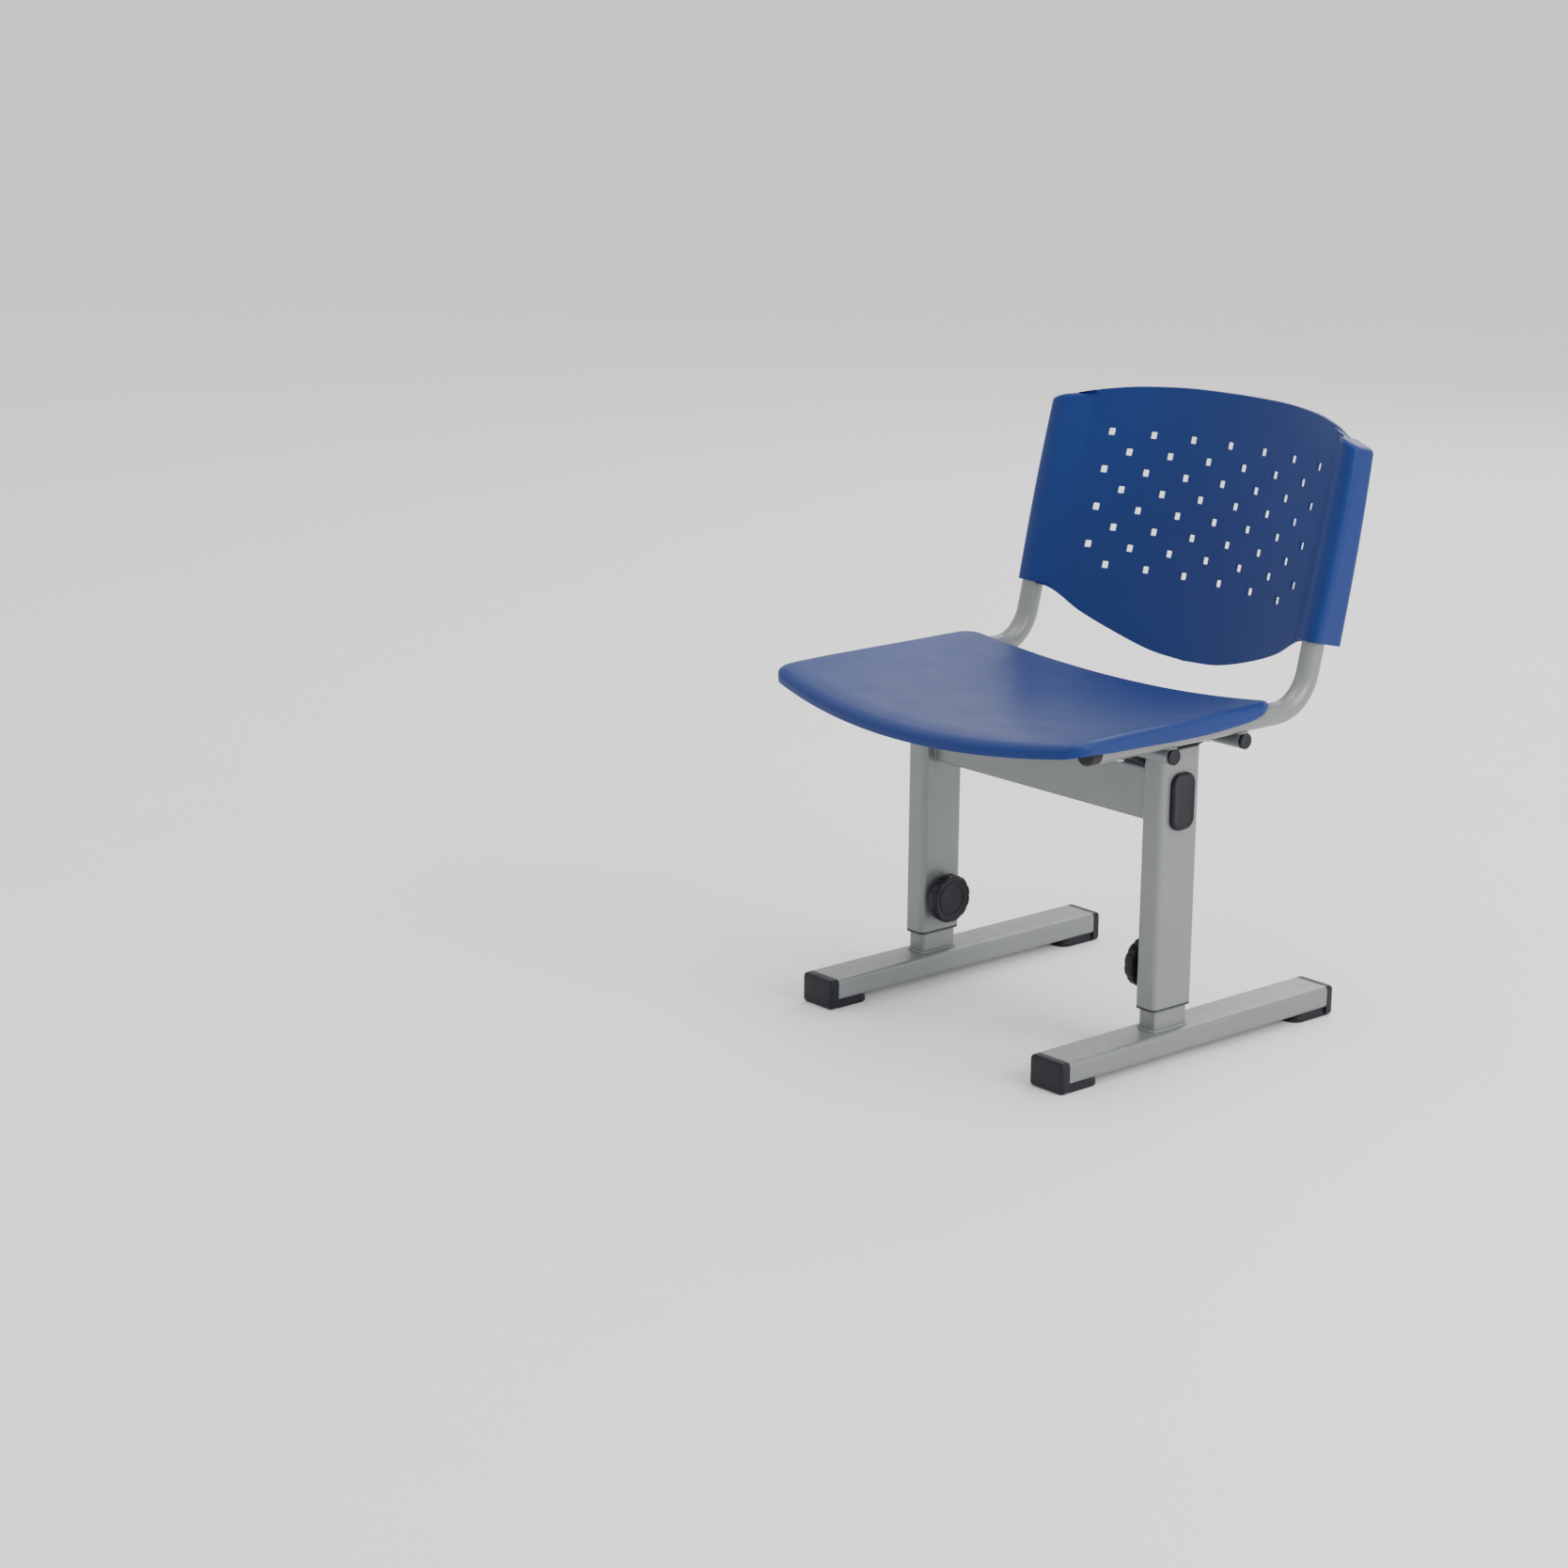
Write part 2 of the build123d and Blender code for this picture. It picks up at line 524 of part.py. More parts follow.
with BuildPart() as back:
    # Plan curve, carried up along the lean.
    with BuildSketch(Plane.XY.offset(base_z)):
        with BuildLine():
            CenterArc((0, base_y - BACK_RADIUS), BACK_RADIUS, 90 - half_arc, 2 * half_arc)
            CenterArc((0, base_y - BACK_RADIUS), BACK_RADIUS + BACK_T, 90 - half_arc, 2 * half_arc)
            for a in (90 - half_arc, 90 + half_arc):
                Line(
                    (BACK_RADIUS * cos(radians(a)), base_y - BACK_RADIUS + BACK_RADIUS * sin(radians(a))),
                    (
                        (BACK_RADIUS + BACK_T) * cos(radians(a)),
                        base_y - BACK_RADIUS + (BACK_RADIUS + BACK_T) * sin(radians(a)),
                    ),
                )
        make_face()
    extrude(amount=rise * sqrt(1 + lean**2), dir=(0, lean, 1))
    # Front outline: arched top, straight sides and bellied lower edge.
    with BuildSketch(across(0, COLUMN_Y + 100, 0)):
        with BuildLine():
            side_x, side_top = BACK_TOP[-1]
            Spline(*[(-px, pz) for px, pz in BACK_TOP[::-1]], *BACK_TOP[1:])
            Polyline((side_x, side_top), (side_x, BACK_BOTTOM[0][1] + 6), BACK_BOTTOM[0])
            Spline(*BACK_BOTTOM, *[(-px, pz) for px, pz in BACK_BOTTOM[-2::-1]])
            Polyline(
                (-BACK_BOTTOM[0][0], BACK_BOTTOM[0][1]), (-side_x, BACK_BOTTOM[0][1] + 6), (-side_x, side_top)
            )
        make_face()
    extrude(amount=-300, mode=Mode.INTERSECT)
    # Sleeves for the posts, widest at the mouth.
    for s in (-1, 1):
        for z, depth in ((SLEEVE_BOTTOM_Z, SLEEVE_BOTTOM_D), (SLEEVE_TOP_Z, SLEEVE_TOP_D)):
            with BuildSketch(Plane(origin=(s * RAIL_X, post_y(z), z), x_dir=(1, 0, 0), z_dir=POST_DIR)):
                with Locations((0, (depth - SLEEVE_W) / 2)):
                    RectangleRounded(SLEEVE_W, depth, SLEEVE_R)
        loft()
    # Post bores and the screw seats behind them.
    for s in (-1, 1):
        below = SLEEVE_BOTTOM_Z - 30
        mouth = Plane(origin=(s * RAIL_X, post_y(below), below), x_dir=(1, 0, 0), z_dir=POST_DIR)
        with BuildSketch(mouth):
            Circle(SLEEVE_BORE / 2)
        extrude(amount=(RAIL_TOP_Z + 6 - below) / cos(radians(POST_LEAN)), mode=Mode.SUBTRACT)
        with BuildSketch(behind_post(s, BACK_SCREW_Z, 0)):
            Circle(BACK_SCREW_D / 2 + 0.1)
        extrude(amount=SLEEVE_BOTTOM_D, mode=Mode.SUBTRACT)
        with BuildSketch(behind_post(s, BACK_SCREW_Z, BACK_SCREW_SEAT)):
            Circle(BACK_SCREW_HEAD_D / 2 + 0.5)
        extrude(amount=20, mode=Mode.SUBTRACT)
    # Staggered rows of small square holes.
    for row in range(HOLE_ROWS):
        count = HOLE_LONG_ROW - row % 2
        for i in range(count):
            arc = (i - (count - 1) / 2) * HOLE_PITCH
            with BuildSketch(
                across(BACK_RADIUS * sin(arc / BACK_RADIUS), COLUMN_Y + 100, HOLE_TOP_Z - row * HOLE_ROW)
            ):
                Rectangle(HOLE_SIDE, HOLE_SIDE)
            extrude(amount=-250, mode=Mode.SUBTRACT)
save(back.part, "backrest_shell")

with BuildPart() as back_screws:
    for s in (-1, 1):
        with BuildSketch(behind_post(s, BACK_SCREW_Z, BACK_SCREW_SEAT)):
            Circle(BACK_SCREW_HEAD_D / 2)
        extrude(amount=BACK_SCREW_HEAD_H)
        with BuildSketch(behind_post(s, BACK_SCREW_Z, BACK_SCREW_SEAT)):
            Circle(BACK_SCREW_D / 2)
        extrude(amount=-(BACK_SCREW_SEAT - 9))
save(back_screws.part, "backrest_screws")
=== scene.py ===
"""Student desk chair: a moulded seat and backrest on a height-adjustable steel frame.

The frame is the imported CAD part. Each operator below makes one group of pieces over it.
"""

from math import cos, hypot, pi, radians, sin, tan

import bmesh
import bpy
import numpy as np
from bpy.props import FloatProperty, FloatVectorProperty, IntProperty, PointerProperty
from mathutils import Matrix, Vector


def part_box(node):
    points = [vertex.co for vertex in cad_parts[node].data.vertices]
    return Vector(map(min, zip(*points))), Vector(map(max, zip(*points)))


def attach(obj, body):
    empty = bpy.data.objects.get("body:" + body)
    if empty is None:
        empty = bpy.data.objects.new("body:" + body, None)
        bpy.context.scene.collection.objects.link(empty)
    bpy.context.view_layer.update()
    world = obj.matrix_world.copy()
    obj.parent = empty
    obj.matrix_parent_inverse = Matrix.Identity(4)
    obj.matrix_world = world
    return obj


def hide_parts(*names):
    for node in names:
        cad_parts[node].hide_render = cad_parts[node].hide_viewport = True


bl_info = {
    "name": "Student Desk Chair",
    "version": (1, 0, 0),
    "blender": (4, 5, 0),
    "location": "3D View > Sidebar > Chair",
    "description": "Builds the seat, backrest, steel frame and fittings of a student desk chair",
    "category": "Add Mesh",
}

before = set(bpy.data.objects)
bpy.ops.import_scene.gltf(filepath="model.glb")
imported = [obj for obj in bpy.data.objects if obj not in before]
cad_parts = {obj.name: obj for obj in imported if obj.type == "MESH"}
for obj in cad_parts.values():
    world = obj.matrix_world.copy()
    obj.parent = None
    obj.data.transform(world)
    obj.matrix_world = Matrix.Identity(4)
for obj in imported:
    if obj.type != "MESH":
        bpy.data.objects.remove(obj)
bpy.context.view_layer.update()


def box(node):
    """Lowest corner, highest corner, middle and size of a CAD piece, in metres."""
    low, high = (np.array(corner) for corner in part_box(node))
    return low, high, (low + high) / 2, high - low


SIDES = (("left", -1), ("right", 1))
X, Y, Z = np.eye(3)

COLUMN_LOW, COLUMN_HIGH, COLUMN_MID, COLUMN_SIZE = box("right_outer_column")
COLUMN_X, COLUMN_Y = COLUMN_MID[0], COLUMN_MID[1]
FOOT_LOW, FOOT_HIGH, FOOT_MID, FOOT_SIZE = box("right_foot_tube")
RAIL_LOW, _, RAIL_MID, RAIL_SIZE = box("right_rail")
RAIL_X, RAIL_RADIUS = RAIL_MID[0], RAIL_SIZE[0] / 2
RAIL_Z = RAIL_LOW[2] + RAIL_RADIUS
RAIL_CORNER_Y = COLUMN_Y + 0.166
RAIL_TOP_Z = 0.630
SEAT_HALF_WIDTH = box("seat_shell")[3][0] / 2
SEAT_REAR, SEAT_FRONT = COLUMN_Y + 0.100, COLUMN_Y - 0.200
SEAT_SIDE_Z = 0.394
SEAT_SCREW_Y = (COLUMN_Y - 0.115, COLUMN_Y + 0.020)
CROSS_Z = box("front_cross_tube")[2][2]
POST_LEAN = radians(13.4)
POST_DIRECTION = np.array([0, sin(POST_LEAN), cos(POST_LEAN)])
POST_BACKWARDS = np.array([0, cos(POST_LEAN), -sin(POST_LEAN)])


def post_y(z):
    """Depth of the rail's upright at height z: a straight line leaning back from the bend."""
    return RAIL_CORNER_Y + (z - RAIL_Z) * tan(POST_LEAN)


# ---------------------------------------------------------------- sizes and colours


def length(name, default, description):
    """A length in metres."""
    return FloatProperty(name=name, default=default, description=description, min=0.0, unit="LENGTH")


def colour(name, default, description):
    """A colour with its opacity."""
    return FloatVectorProperty(
        name=name, default=(*default, 1.0), description=description, subtype="COLOR", size=4, min=0.0, max=1.0
    )


class ChairSeatSizes(bpy.types.PropertyGroup):
    thickness: length("Thickness", 0.005, "Wall of the moulded seat")
    rim: length("Rim width", 0.013, "Width of the roll along the seat's edge")
    rim_drop: length("Rim drop", 0.007, "How far the roll falls to the skirt")
    dish: length("Dish", 0.025, "How deep the middle of the seat lies below its sides")
    bow_rear: length("Rear bow", 0.012, "How far the rear edge bows out")
    bow_front: length("Front bow", 0.032, "How far the front edge bows out")
    lip_drop: length("Lip drop", 0.020, "How much further the front lip falls in the middle")
    skirt: length("Side skirt", 0.020, "Height of the side skirt at its deepest")
    skirt_rear: length("Rear skirt", 0.007, "Height of the side skirt at the rear corner")
    skirt_front: length("Front skirt", 0.0125, "Height of the side skirt at the front corner")
    lip: length("Front lip", 0.012, "Height of the turned-down lip along the front edge")
    corner_front: length("Front corner", 0.020, "Radius of the front corners in plan")
    corner_rear: length("Rear corner", 0.022, "Radius of the rear corners in plan")
    rib: length("Rib height", 0.0035, "Height of the stiffening ribs under the seat")


class ChairBackSizes(bpy.types.PropertyGroup):
    thickness: length("Thickness", 0.0040, "Wall of the moulded backrest")
    curve: length("Curve radius", 0.430, "Plan radius of the face that the sitter leans on")
    lean: FloatProperty(
        name="Lean", default=radians(15.0), description="Backrest's lean from upright", subtype="ANGLE"
    )
    hole: length("Hole side", 0.0078, "Side of one square hole")
    pitch: length("Hole pitch", 0.0536, "Distance between holes in a row, along the curve")
    row: length("Row pitch", 0.0214, "Height between rows of holes")
    rows: IntProperty(name="Rows", default=8, min=1, description="Rows of holes, long and short in turn")
    edge: length("Edge radius", 0.0009, "Rounding of the outline and of the holes")
    sleeve_width: length("Sleeve width", 0.031, "Width of the sleeve that takes a post")
    sleeve_bulge: length("Sleeve bulge", 0.0022, "How far the sleeve swells outwards halfway up")


class ChairFrameSizes(bpy.types.PropertyGroup):
    wall: length("Tube wall", 0.0015, "Wall of the steel tubes")
    column_corner: length("Column corner", 0.007, "Corner radius of the outer columns")
    beam_corner: length("Beam corner", 0.004, "Corner radius of the crossbeam")
    bend: length("Rail bend", 0.050, "Centre-line radius of the bend in each rail")
    bead: length("Weld bead", 0.0019, "Radius of the weld beads")
    ripple: length("Weld ripple", 0.0026, "Distance between the ripples of a bead")


class ChairFootSizes(bpy.types.PropertyGroup):
    corner: length("Tube corner", 0.005, "Corner radius of the foot tubes")
    cap: length("Cap length", 0.012, "Length of the end cap beyond the tube")
    pad_length: length("Pad length", 0.050, "Length of the pad under each cap")
    pad_width: length("Pad width", 0.046, "Width of the pad under each cap")
    pad_corner: length("Pad corner", 0.014, "Radius of the pad's inner corners")


class ChairKnobSizes(bpy.types.PropertyGroup):
    lobes: IntProperty(name="Lobes", default=12, min=3, description="Grip lobes round the clamp knob")
    flute: length("Flute depth", 0.0009, "Depth of the flutes between the lobes")
    ring: length("Ring radius", 0.0185, "Radius of the raised ring on the knob's face")


class ChairColours(bpy.types.PropertyGroup):
    silver: colour("Silver paint", (0.160, 0.170, 0.168), "Powder coat of the tubes")
    # Black of the brackets: painted shade. The brackets are real parts, but their black stands for the dark,
    # shaded gap between the crossbeam's top and the front cross tube under the seat.
    black_paint: colour("Shade black paint", (0.022, 0.023, 0.026), "Bracket black, painted shade for the gap under the seat")
    blue: colour("Blue plastic", (0.0008, 0.0185, 0.125), "Seat and backrest")
    black: colour("Black plastic", (0.0065, 0.0072, 0.0105), "Caps, knobs and covers")
    nylon: colour("Guide plastic", (0.030, 0.032, 0.036), "Bushings and guides in the columns")
    zinc: colour("Zinc", (0.55, 0.56, 0.57), "Plated screws and bolts")
    floor: colour("Floor", (0.86, 0.86, 0.86), "Studio floor")


class ChairSettings(bpy.types.PropertyGroup):
    seat: PointerProperty(type=ChairSeatSizes)
    back: PointerProperty(type=ChairBackSizes)
    tubes: PointerProperty(type=ChairFrameSizes)
    feet: PointerProperty(type=ChairFootSizes)
    knobs: PointerProperty(type=ChairKnobSizes)
    colours: PointerProperty(type=ChairColours)


# ---------------------------------------------------------------- surfaces


def grid_faces(rows, columns, wrap_rows=False, wrap_columns=True):
    """Quads between neighbours of a grid of points that is numbered row by row."""
    down, along = rows - (not wrap_rows), columns - (not wrap_columns)
    i, j = np.meshgrid(np.arange(down), np.arange(along), indexing="ij")
    i, j = i.ravel(), j.ravel()
    i2, j2 = (i + 1) % rows, (j + 1) % columns
    return np.stack([i * columns + j, i2 * columns + j, i2 * columns + j2, i * columns + j2], 1)


def smooth_curve(t, stations, values):
    """Cubic through the stations: in each gap the Hermite blend of both ends and their mean slopes."""
    stations, values = np.asarray(stations, float), np.asarray(values, float)
    slopes = np.gradient(values, stations)
    t = np.clip(t, stations[0], stations[-1])
    k = np.clip(np.searchsorted(stations, t, side="right") - 1, 0, len(stations) - 2)
    gap = stations[k + 1] - stations[k]
    f = (t - stations[k]) / gap
    return (
        (2 * f**3 - 3 * f**2 + 1) * values[k]
        + (f**3 - 2 * f**2 + f) * gap * slopes[k]
        + (3 * f**2 - 2 * f**3) * values[k + 1]
        + (f**3 - f**2) * gap * slopes[k + 1]
    )


def loop_normals(points):
    """Outward normals of a closed anticlockwise loop: the chord past each point, turned a quarter right."""
    chord = np.roll(points, -1, 0) - np.roll(points, 1, 0)
    chord /= np.linalg.norm(chord, axis=1, keepdims=True)
    return np.stack([chord[:, 1], -chord[:, 0]], 1)


def rounded_rectangle(width, height, corners, steps=8, along=2):
    """Closed loop: a quarter circle at each corner, joined by straight sides. Returns points and normals.
    corners is one radius, or four, from the lower right corner anticlockwise."""
    radii = np.broadcast_to(np.asarray(corners, float), 4)
    points, normals = [], []
    turns = np.linspace(0, pi / 2, steps + 1)
    for k, (sx, sy) in enumerate(((1, -1), (1, 1), (-1, 1), (-1, -1))):
        centre = np.array([sx * (width / 2 - radii[k]), sy * (height / 2 - radii[k])])
        angle = turns + (k - 1) * pi / 2
        out = np.stack([np.cos(angle), np.sin(angle)], 1)
        points.append(centre + radii[k] * out)
        normals.append(out)
    joined, joined_normals = [], []
    for k in range(4):
        a, b = points[k][-1], points[(k + 1) % 4][0]
        f = np.linspace(0, 1, along + 1)[1:-1, None]
        joined += [points[k], a + (b - a) * f]
        joined_normals += [normals[k], np.broadcast_to(normals[k][-1], (along - 1, 2))]
    return np.concatenate(joined), np.concatenate(joined_normals)


def polygon_loop(corners, radius, steps=5):
    """Closed anticlockwise loop: each corner of the polygon is replaced by the quadratic blend from a
    radius before it to a radius after it. radius is one number, or one for each corner."""
    corners = np.asarray(corners, float)
    radius = np.broadcast_to(np.asarray(radius, float), len(corners))[:, None]
    before, after = np.roll(corners, 1, 0) - corners, np.roll(corners, -1, 0) - corners
    before /= np.linalg.norm(before, axis=1, keepdims=True)
    after /= np.linalg.norm(after, axis=1, keepdims=True)
    f = np.linspace(0, 1, steps + 1)[None, :, None]
    a, b = (corners + radius * before)[:, None], (corners + radius * after)[:, None]
    points = ((1 - f) ** 2 * a + 2 * f * (1 - f) * corners[:, None] + f**2 * b).reshape(-1, 2)
    return points, loop_normals(points)


def quarter(radius, steps=4):
    """Station distances and insets of a rounded edge: a quarter circle from the flat end to the side."""
    turn = np.linspace(0, pi / 2, steps + 1)
    return radius * (1 - np.cos(turn)), radius * (1 - np.sin(turn))


def carried(loop, along, inset, origin, axes):
    """The loop carried along the third axis: at each station it is drawn in by the inset."""
    points, normals = loop
    flat = points[None] - np.asarray(inset)[:, None, None] * normals[None]
    u, v, w = (np.asarray(axis, float) for axis in axes)
    return (
        np.asarray(origin, float)
        + flat[..., :1] * u
        + flat[..., 1:] * v
        + np.asarray(along)[:, None, None] * w
    )


def capped(rows):
    """Closes a stack of loops with a point in the middle of the first and of the last."""
    first = np.broadcast_to(rows[0].mean(0), rows[0].shape)[None]
    last = np.broadcast_to(rows[-1].mean(0), rows[-1].shape)[None]
    rows = np.concatenate([first, rows, last])
    return rows, grid_faces(len(rows), rows.shape[1])


def solid_bar(loop, start, end, origin, axes, edge=0.0006, edge_end=None):
    """A solid bar: the loop carried from start to end, with a quarter-circle edge at both ends."""
    edge_end = edge if edge_end is None else edge_end
    along_a, inset_a = quarter(edge)
    along_b, inset_b = quarter(edge_end)
    along = np.concatenate([start + along_a, (end - along_b)[::-1]])
    inset = np.concatenate([inset_a, inset_b[::-1]])
    return capped(carried(loop, along, inset, origin, axes))


def hollow_bar(loop, wall, start, end, origin, axes, edge=0.0004):
    """A tube: out along the loop, round each rim, and back along the loop drawn in by the wall."""
    along_a, inset_a = quarter(edge, 2)
    along = np.concatenate([start + along_a, (end - along_a)[::-1], [end, start]])
    inset = np.concatenate([inset_a, inset_a[::-1], [wall, wall]])
    rows = carried(loop, along, inset, origin, axes)
    return rows, grid_faces(len(rows), rows.shape[1], wrap_rows=True)


def swept_tube(path, radius, sides=32, closed=False, across=X):
    """A round tube carried along a flat path: at each point a circle square to the path's direction."""
    path = np.asarray(path, float)
    radius = np.broadcast_to(np.asarray(radius, float), len(path))
    ahead = np.roll(path, -1, 0) - np.roll(path, 1, 0) if closed else np.gradient(path, axis=0)
    ahead /= np.linalg.norm(ahead, axis=1, keepdims=True)
    beside = np.cross(ahead, across)
    turn = np.linspace(0, 2 * pi, sides, endpoint=False)
    ring = np.cos(turn)[None, :, None] * np.asarray(across) + np.sin(turn)[None, :, None] * beside[:, None]
    rows = path[:, None] + radius[:, None, None] * ring
    if closed:
        return rows, grid_faces(len(rows), sides, wrap_rows=True)
    return capped(rows)


def turned(height, radius, origin, axes, sides=48, flute=None, lobes=1):
    """A turned shape: radius against height, spun about the third axis. With flutes, the radius loses
    flute times the fourth power of half of (1 + cosine of lobes times the angle)."""
    turn = np.linspace(0, 2 * pi, sides, endpoint=False)
    cut = ((1 + np.cos(lobes * turn)) / 2) ** 4
    r = np.asarray(radius)[:, None] - (0 if flute is None else np.asarray(flute)[:, None] * cut[None])
    r = np.broadcast_to(r, (len(height), sides))
    u, v, w = (np.asarray(axis, float) for axis in axes)
    rows = (
        np.asarray(origin, float)
        + (r * np.cos(turn))[..., None] * u
        + (r * np.sin(turn))[..., None] * v
        + np.asarray(height)[:, None, None] * w
    )
    return capped(rows)


def weld_bead(path, size, ripple):
    """A weld bead: a thin round section carried along a closed path. Its radius swells once each ripple
    of length, as a raised sine."""
    path = np.asarray(path, float)
    step = np.linalg.norm(np.roll(path, -1, 0) - path, axis=1)
    walked = np.concatenate([[0], np.cumsum(step)[:-1]])
    count = max(3, round(step.sum() / ripple))
    radius = size * (1 + 0.16 * np.sin(2 * pi * count * walked / step.sum()))
    ahead = np.roll(path, -1, 0) - np.roll(path, 1, 0)
    ahead /= np.linalg.norm(ahead, axis=1, keepdims=True)
    flat = path - path.mean(0)
    square = np.linalg.svd(flat, full_matrices=False)[2][2]
    beside = np.cross(ahead, square)
    turn = np.linspace(0, 2 * pi, 10, endpoint=False)
    ring = np.cos(turn)[None, :, None] * square + np.sin(turn)[None, :, None] * beside[:, None]
    rows = path[:, None] + radius[:, None, None] * ring
    return rows, grid_faces(len(rows), 10, wrap_rows=True)


def resampled(points, step):
    """A closed path walked at an even step: the points are spread evenly over its length."""
    closed = np.concatenate([points, points[:1]])
    walked = np.concatenate([[0], np.cumsum(np.linalg.norm(np.diff(closed, axis=0), axis=1))])
    at = np.linspace(0, walked[-1], max(12, int(walked[-1] / step)), endpoint=False)
    return np.stack([np.interp(at, walked, closed[:, k]) for k in range(points.shape[1])], 1)


def pierced_sheet(front, back, solid):
    """A closed sheet from two grids of points. Cells marked solid get a front and a back face, and each
    edge between a solid cell and an open one gets a wall from front to back."""
    rows, columns = front.shape[:2]
    number = np.arange(rows * columns).reshape(rows, columns)
    under = rows * columns
    a, b, c, d = number[:-1, :-1], number[1:, :-1], number[1:, 1:], number[:-1, 1:]
    faces = [
        np.stack([a[solid], b[solid], c[solid], d[solid]], 1),
        np.stack([a[solid], d[solid], c[solid], b[solid]], 1) + under,
    ]
    padded = np.pad(solid, 1)
    for shift, (p, q) in (((0, 1), (a, d)), ((2, 1), (b, c)), ((1, 0), (a, b)), ((1, 2), (d, c))):
        beside = padded[shift[0] : shift[0] + rows - 1, shift[1] : shift[1] + columns - 1]
        edge = solid & ~beside
        faces.append(np.stack([p[edge], q[edge], q[edge] + under, p[edge] + under], 1))
    return np.concatenate([front.reshape(-1, 3), back.reshape(-1, 3)]), np.concatenate(faces)


def make_piece(name, shells, material, body, nodes=(), crease=38, level=True):
    """One object from closed shells: seams and poles are merged, faces turned outwards, edges sharper
    than the crease angle kept sharp."""
    points, faces, start = [], [], 0
    for shell_points, shell_faces in shells:
        shell_points = np.asarray(shell_points).reshape(-1, 3)
        points.append(shell_points)
        faces.append(shell_faces + start)
        start += len(shell_points)
    mesh = bpy.data.meshes.new(name)
    mesh.from_pydata(np.concatenate(points).tolist(), [], np.concatenate(faces).tolist())
    work = bmesh.new()
    work.from_mesh(mesh)
    bmesh.ops.remove_doubles(work, verts=work.verts, dist=2e-6)
    bmesh.ops.delete(work, geom=[v for v in work.verts if not v.link_faces], context="VERTS")
    bmesh.ops.recalc_face_normals(work, faces=work.faces)
    work.to_mesh(mesh)
    work.free()
    mesh.shade_smooth()
    mesh.set_sharp_from_angle(angle=radians(crease))
    piece = bpy.data.objects.new(name, mesh)
    bpy.context.scene.collection.objects.link(piece)
    mesh.materials.append(material)
    if level:
        even = piece.modifiers.new("Level shading", "WEIGHTED_NORMAL")
        even.keep_sharp = True
    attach(piece, body)
    if nodes:
        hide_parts(*nodes)
    return piece


# ---------------------------------------------------------------- finishes


class Finish:
    """One node tree, written a node at a time from left to right."""

    def __init__(self, name):
        self.material = bpy.data.materials.new(name)
        self.material.use_nodes = True
        self.tree = self.material.node_tree
        self.shader = self.tree.nodes["Principled BSDF"]
        self.place = self.add("ShaderNodeTexCoord").outputs["Object"]
        self.bump = None

    def add(self, kind, **settings):
        node = self.tree.nodes.new(kind)
        for key, value in settings.items():
            setattr(node, key, value)
        return node

    def join(self, source, target):
        self.tree.links.new(source, target)

    def stretched(self, scale):
        """Place, scaled along each axis."""
        mapping = self.add("ShaderNodeMapping")
        mapping.inputs["Scale"].default_value = scale
        self.join(self.place, mapping.inputs["Vector"])
        return mapping.outputs["Vector"]

    def noise(self, scale, detail=4.0, roughness=0.55, place=None):
        node = self.add("ShaderNodeTexNoise")
        node.inputs["Scale"].default_value = scale
        node.inputs["Detail"].default_value = detail
        node.inputs["Roughness"].default_value = roughness
        self.join(place or self.place, node.inputs["Vector"])
        return node.outputs["Fac"]

    def cells(self, scale):
        node = self.add("ShaderNodeTexVoronoi")
        node.inputs["Scale"].default_value = scale
        self.join(self.place, node.inputs["Vector"])
        return node.outputs["Distance"]

    def ranged(self, value, low, high, to_low=0.0, to_high=1.0):
        node = self.add("ShaderNodeMapRange")
        for socket, number in zip(("From Min", "From Max", "To Min", "To Max"), (low, high, to_low, to_high)):
            node.inputs[socket].default_value = number
        self.join(value, node.inputs["Value"])
        return node.outputs["Result"]

    def blend(self, factor, a, b):
        """Colour a turning into colour b; each may be a colour or another node's output."""
        node = self.add("ShaderNodeMix", data_type="RGBA")
        self.join(factor, node.inputs["Factor"])
        for socket, value in ((node.inputs[6], a), (node.inputs[7], b)):
            if isinstance(value, bpy.types.NodeSocket):
                self.join(value, socket)
            else:
                socket.default_value = value
        return node.outputs[2]

    def raise_by(self, height, distance, strength=1.0):
        """Adds height to the bump; each call stacks on the last."""
        node = self.add("ShaderNodeBump")
        node.inputs["Strength"].default_value = strength
        node.inputs["Distance"].default_value = distance
        self.join(height, node.inputs["Height"])
        if self.bump:
            self.join(self.bump, node.inputs["Normal"])
        self.bump = node.outputs["Normal"]

    def done(self, base, roughness, **constants):
        self.join(base, self.shader.inputs["Base Color"])
        self.join(roughness, self.shader.inputs["Roughness"])
        if self.bump:
            self.join(self.bump, self.shader.inputs["Normal"])
        for key, value in constants.items():
            self.shader.inputs[key.replace("_", " ")].default_value = value
        return self.material


def shade(rgba, factor):
    """A colour made lighter or darker by the factor."""
    return (*(min(1.0, c * factor) for c in rgba[:3]), 1.0)


def powder_coat(name, rgba, metal):
    """Baked powder coat: orange peel, fine metal flake, faint cloudiness and a few rubbed marks."""
    f = Finish(name)
    cloud = f.noise(9.0, 5.0)
    base = f.blend(f.ranged(cloud, 0.3, 0.7), shade(rgba, 0.93), shade(rgba, 1.05))
    flake = f.cells(2600.0)
    base = f.blend(f.ranged(flake, 0.10, 0.55, 0.0, 0.55), shade(rgba, 1.22), base)
    rub = f.noise(1.0, 8.0, 0.7, f.stretched((30.0, 30.0, 160.0)))
    base = f.blend(f.ranged(rub, 0.66, 0.78, 0.0, 0.35), base, shade(rgba, 0.72))
    gloss = f.ranged(f.noise(60.0, 3.0), 0.3, 0.7, 0.34, 0.46)
    f.raise_by(f.noise(420.0, 2.0), 0.00012, 0.35)
    f.raise_by(f.noise(3200.0, 1.0), 0.00003, 0.25)
    return f.done(base, gloss, Metallic=metal, IOR=1.5, Coat_Weight=0.12, Coat_Roughness=0.25)


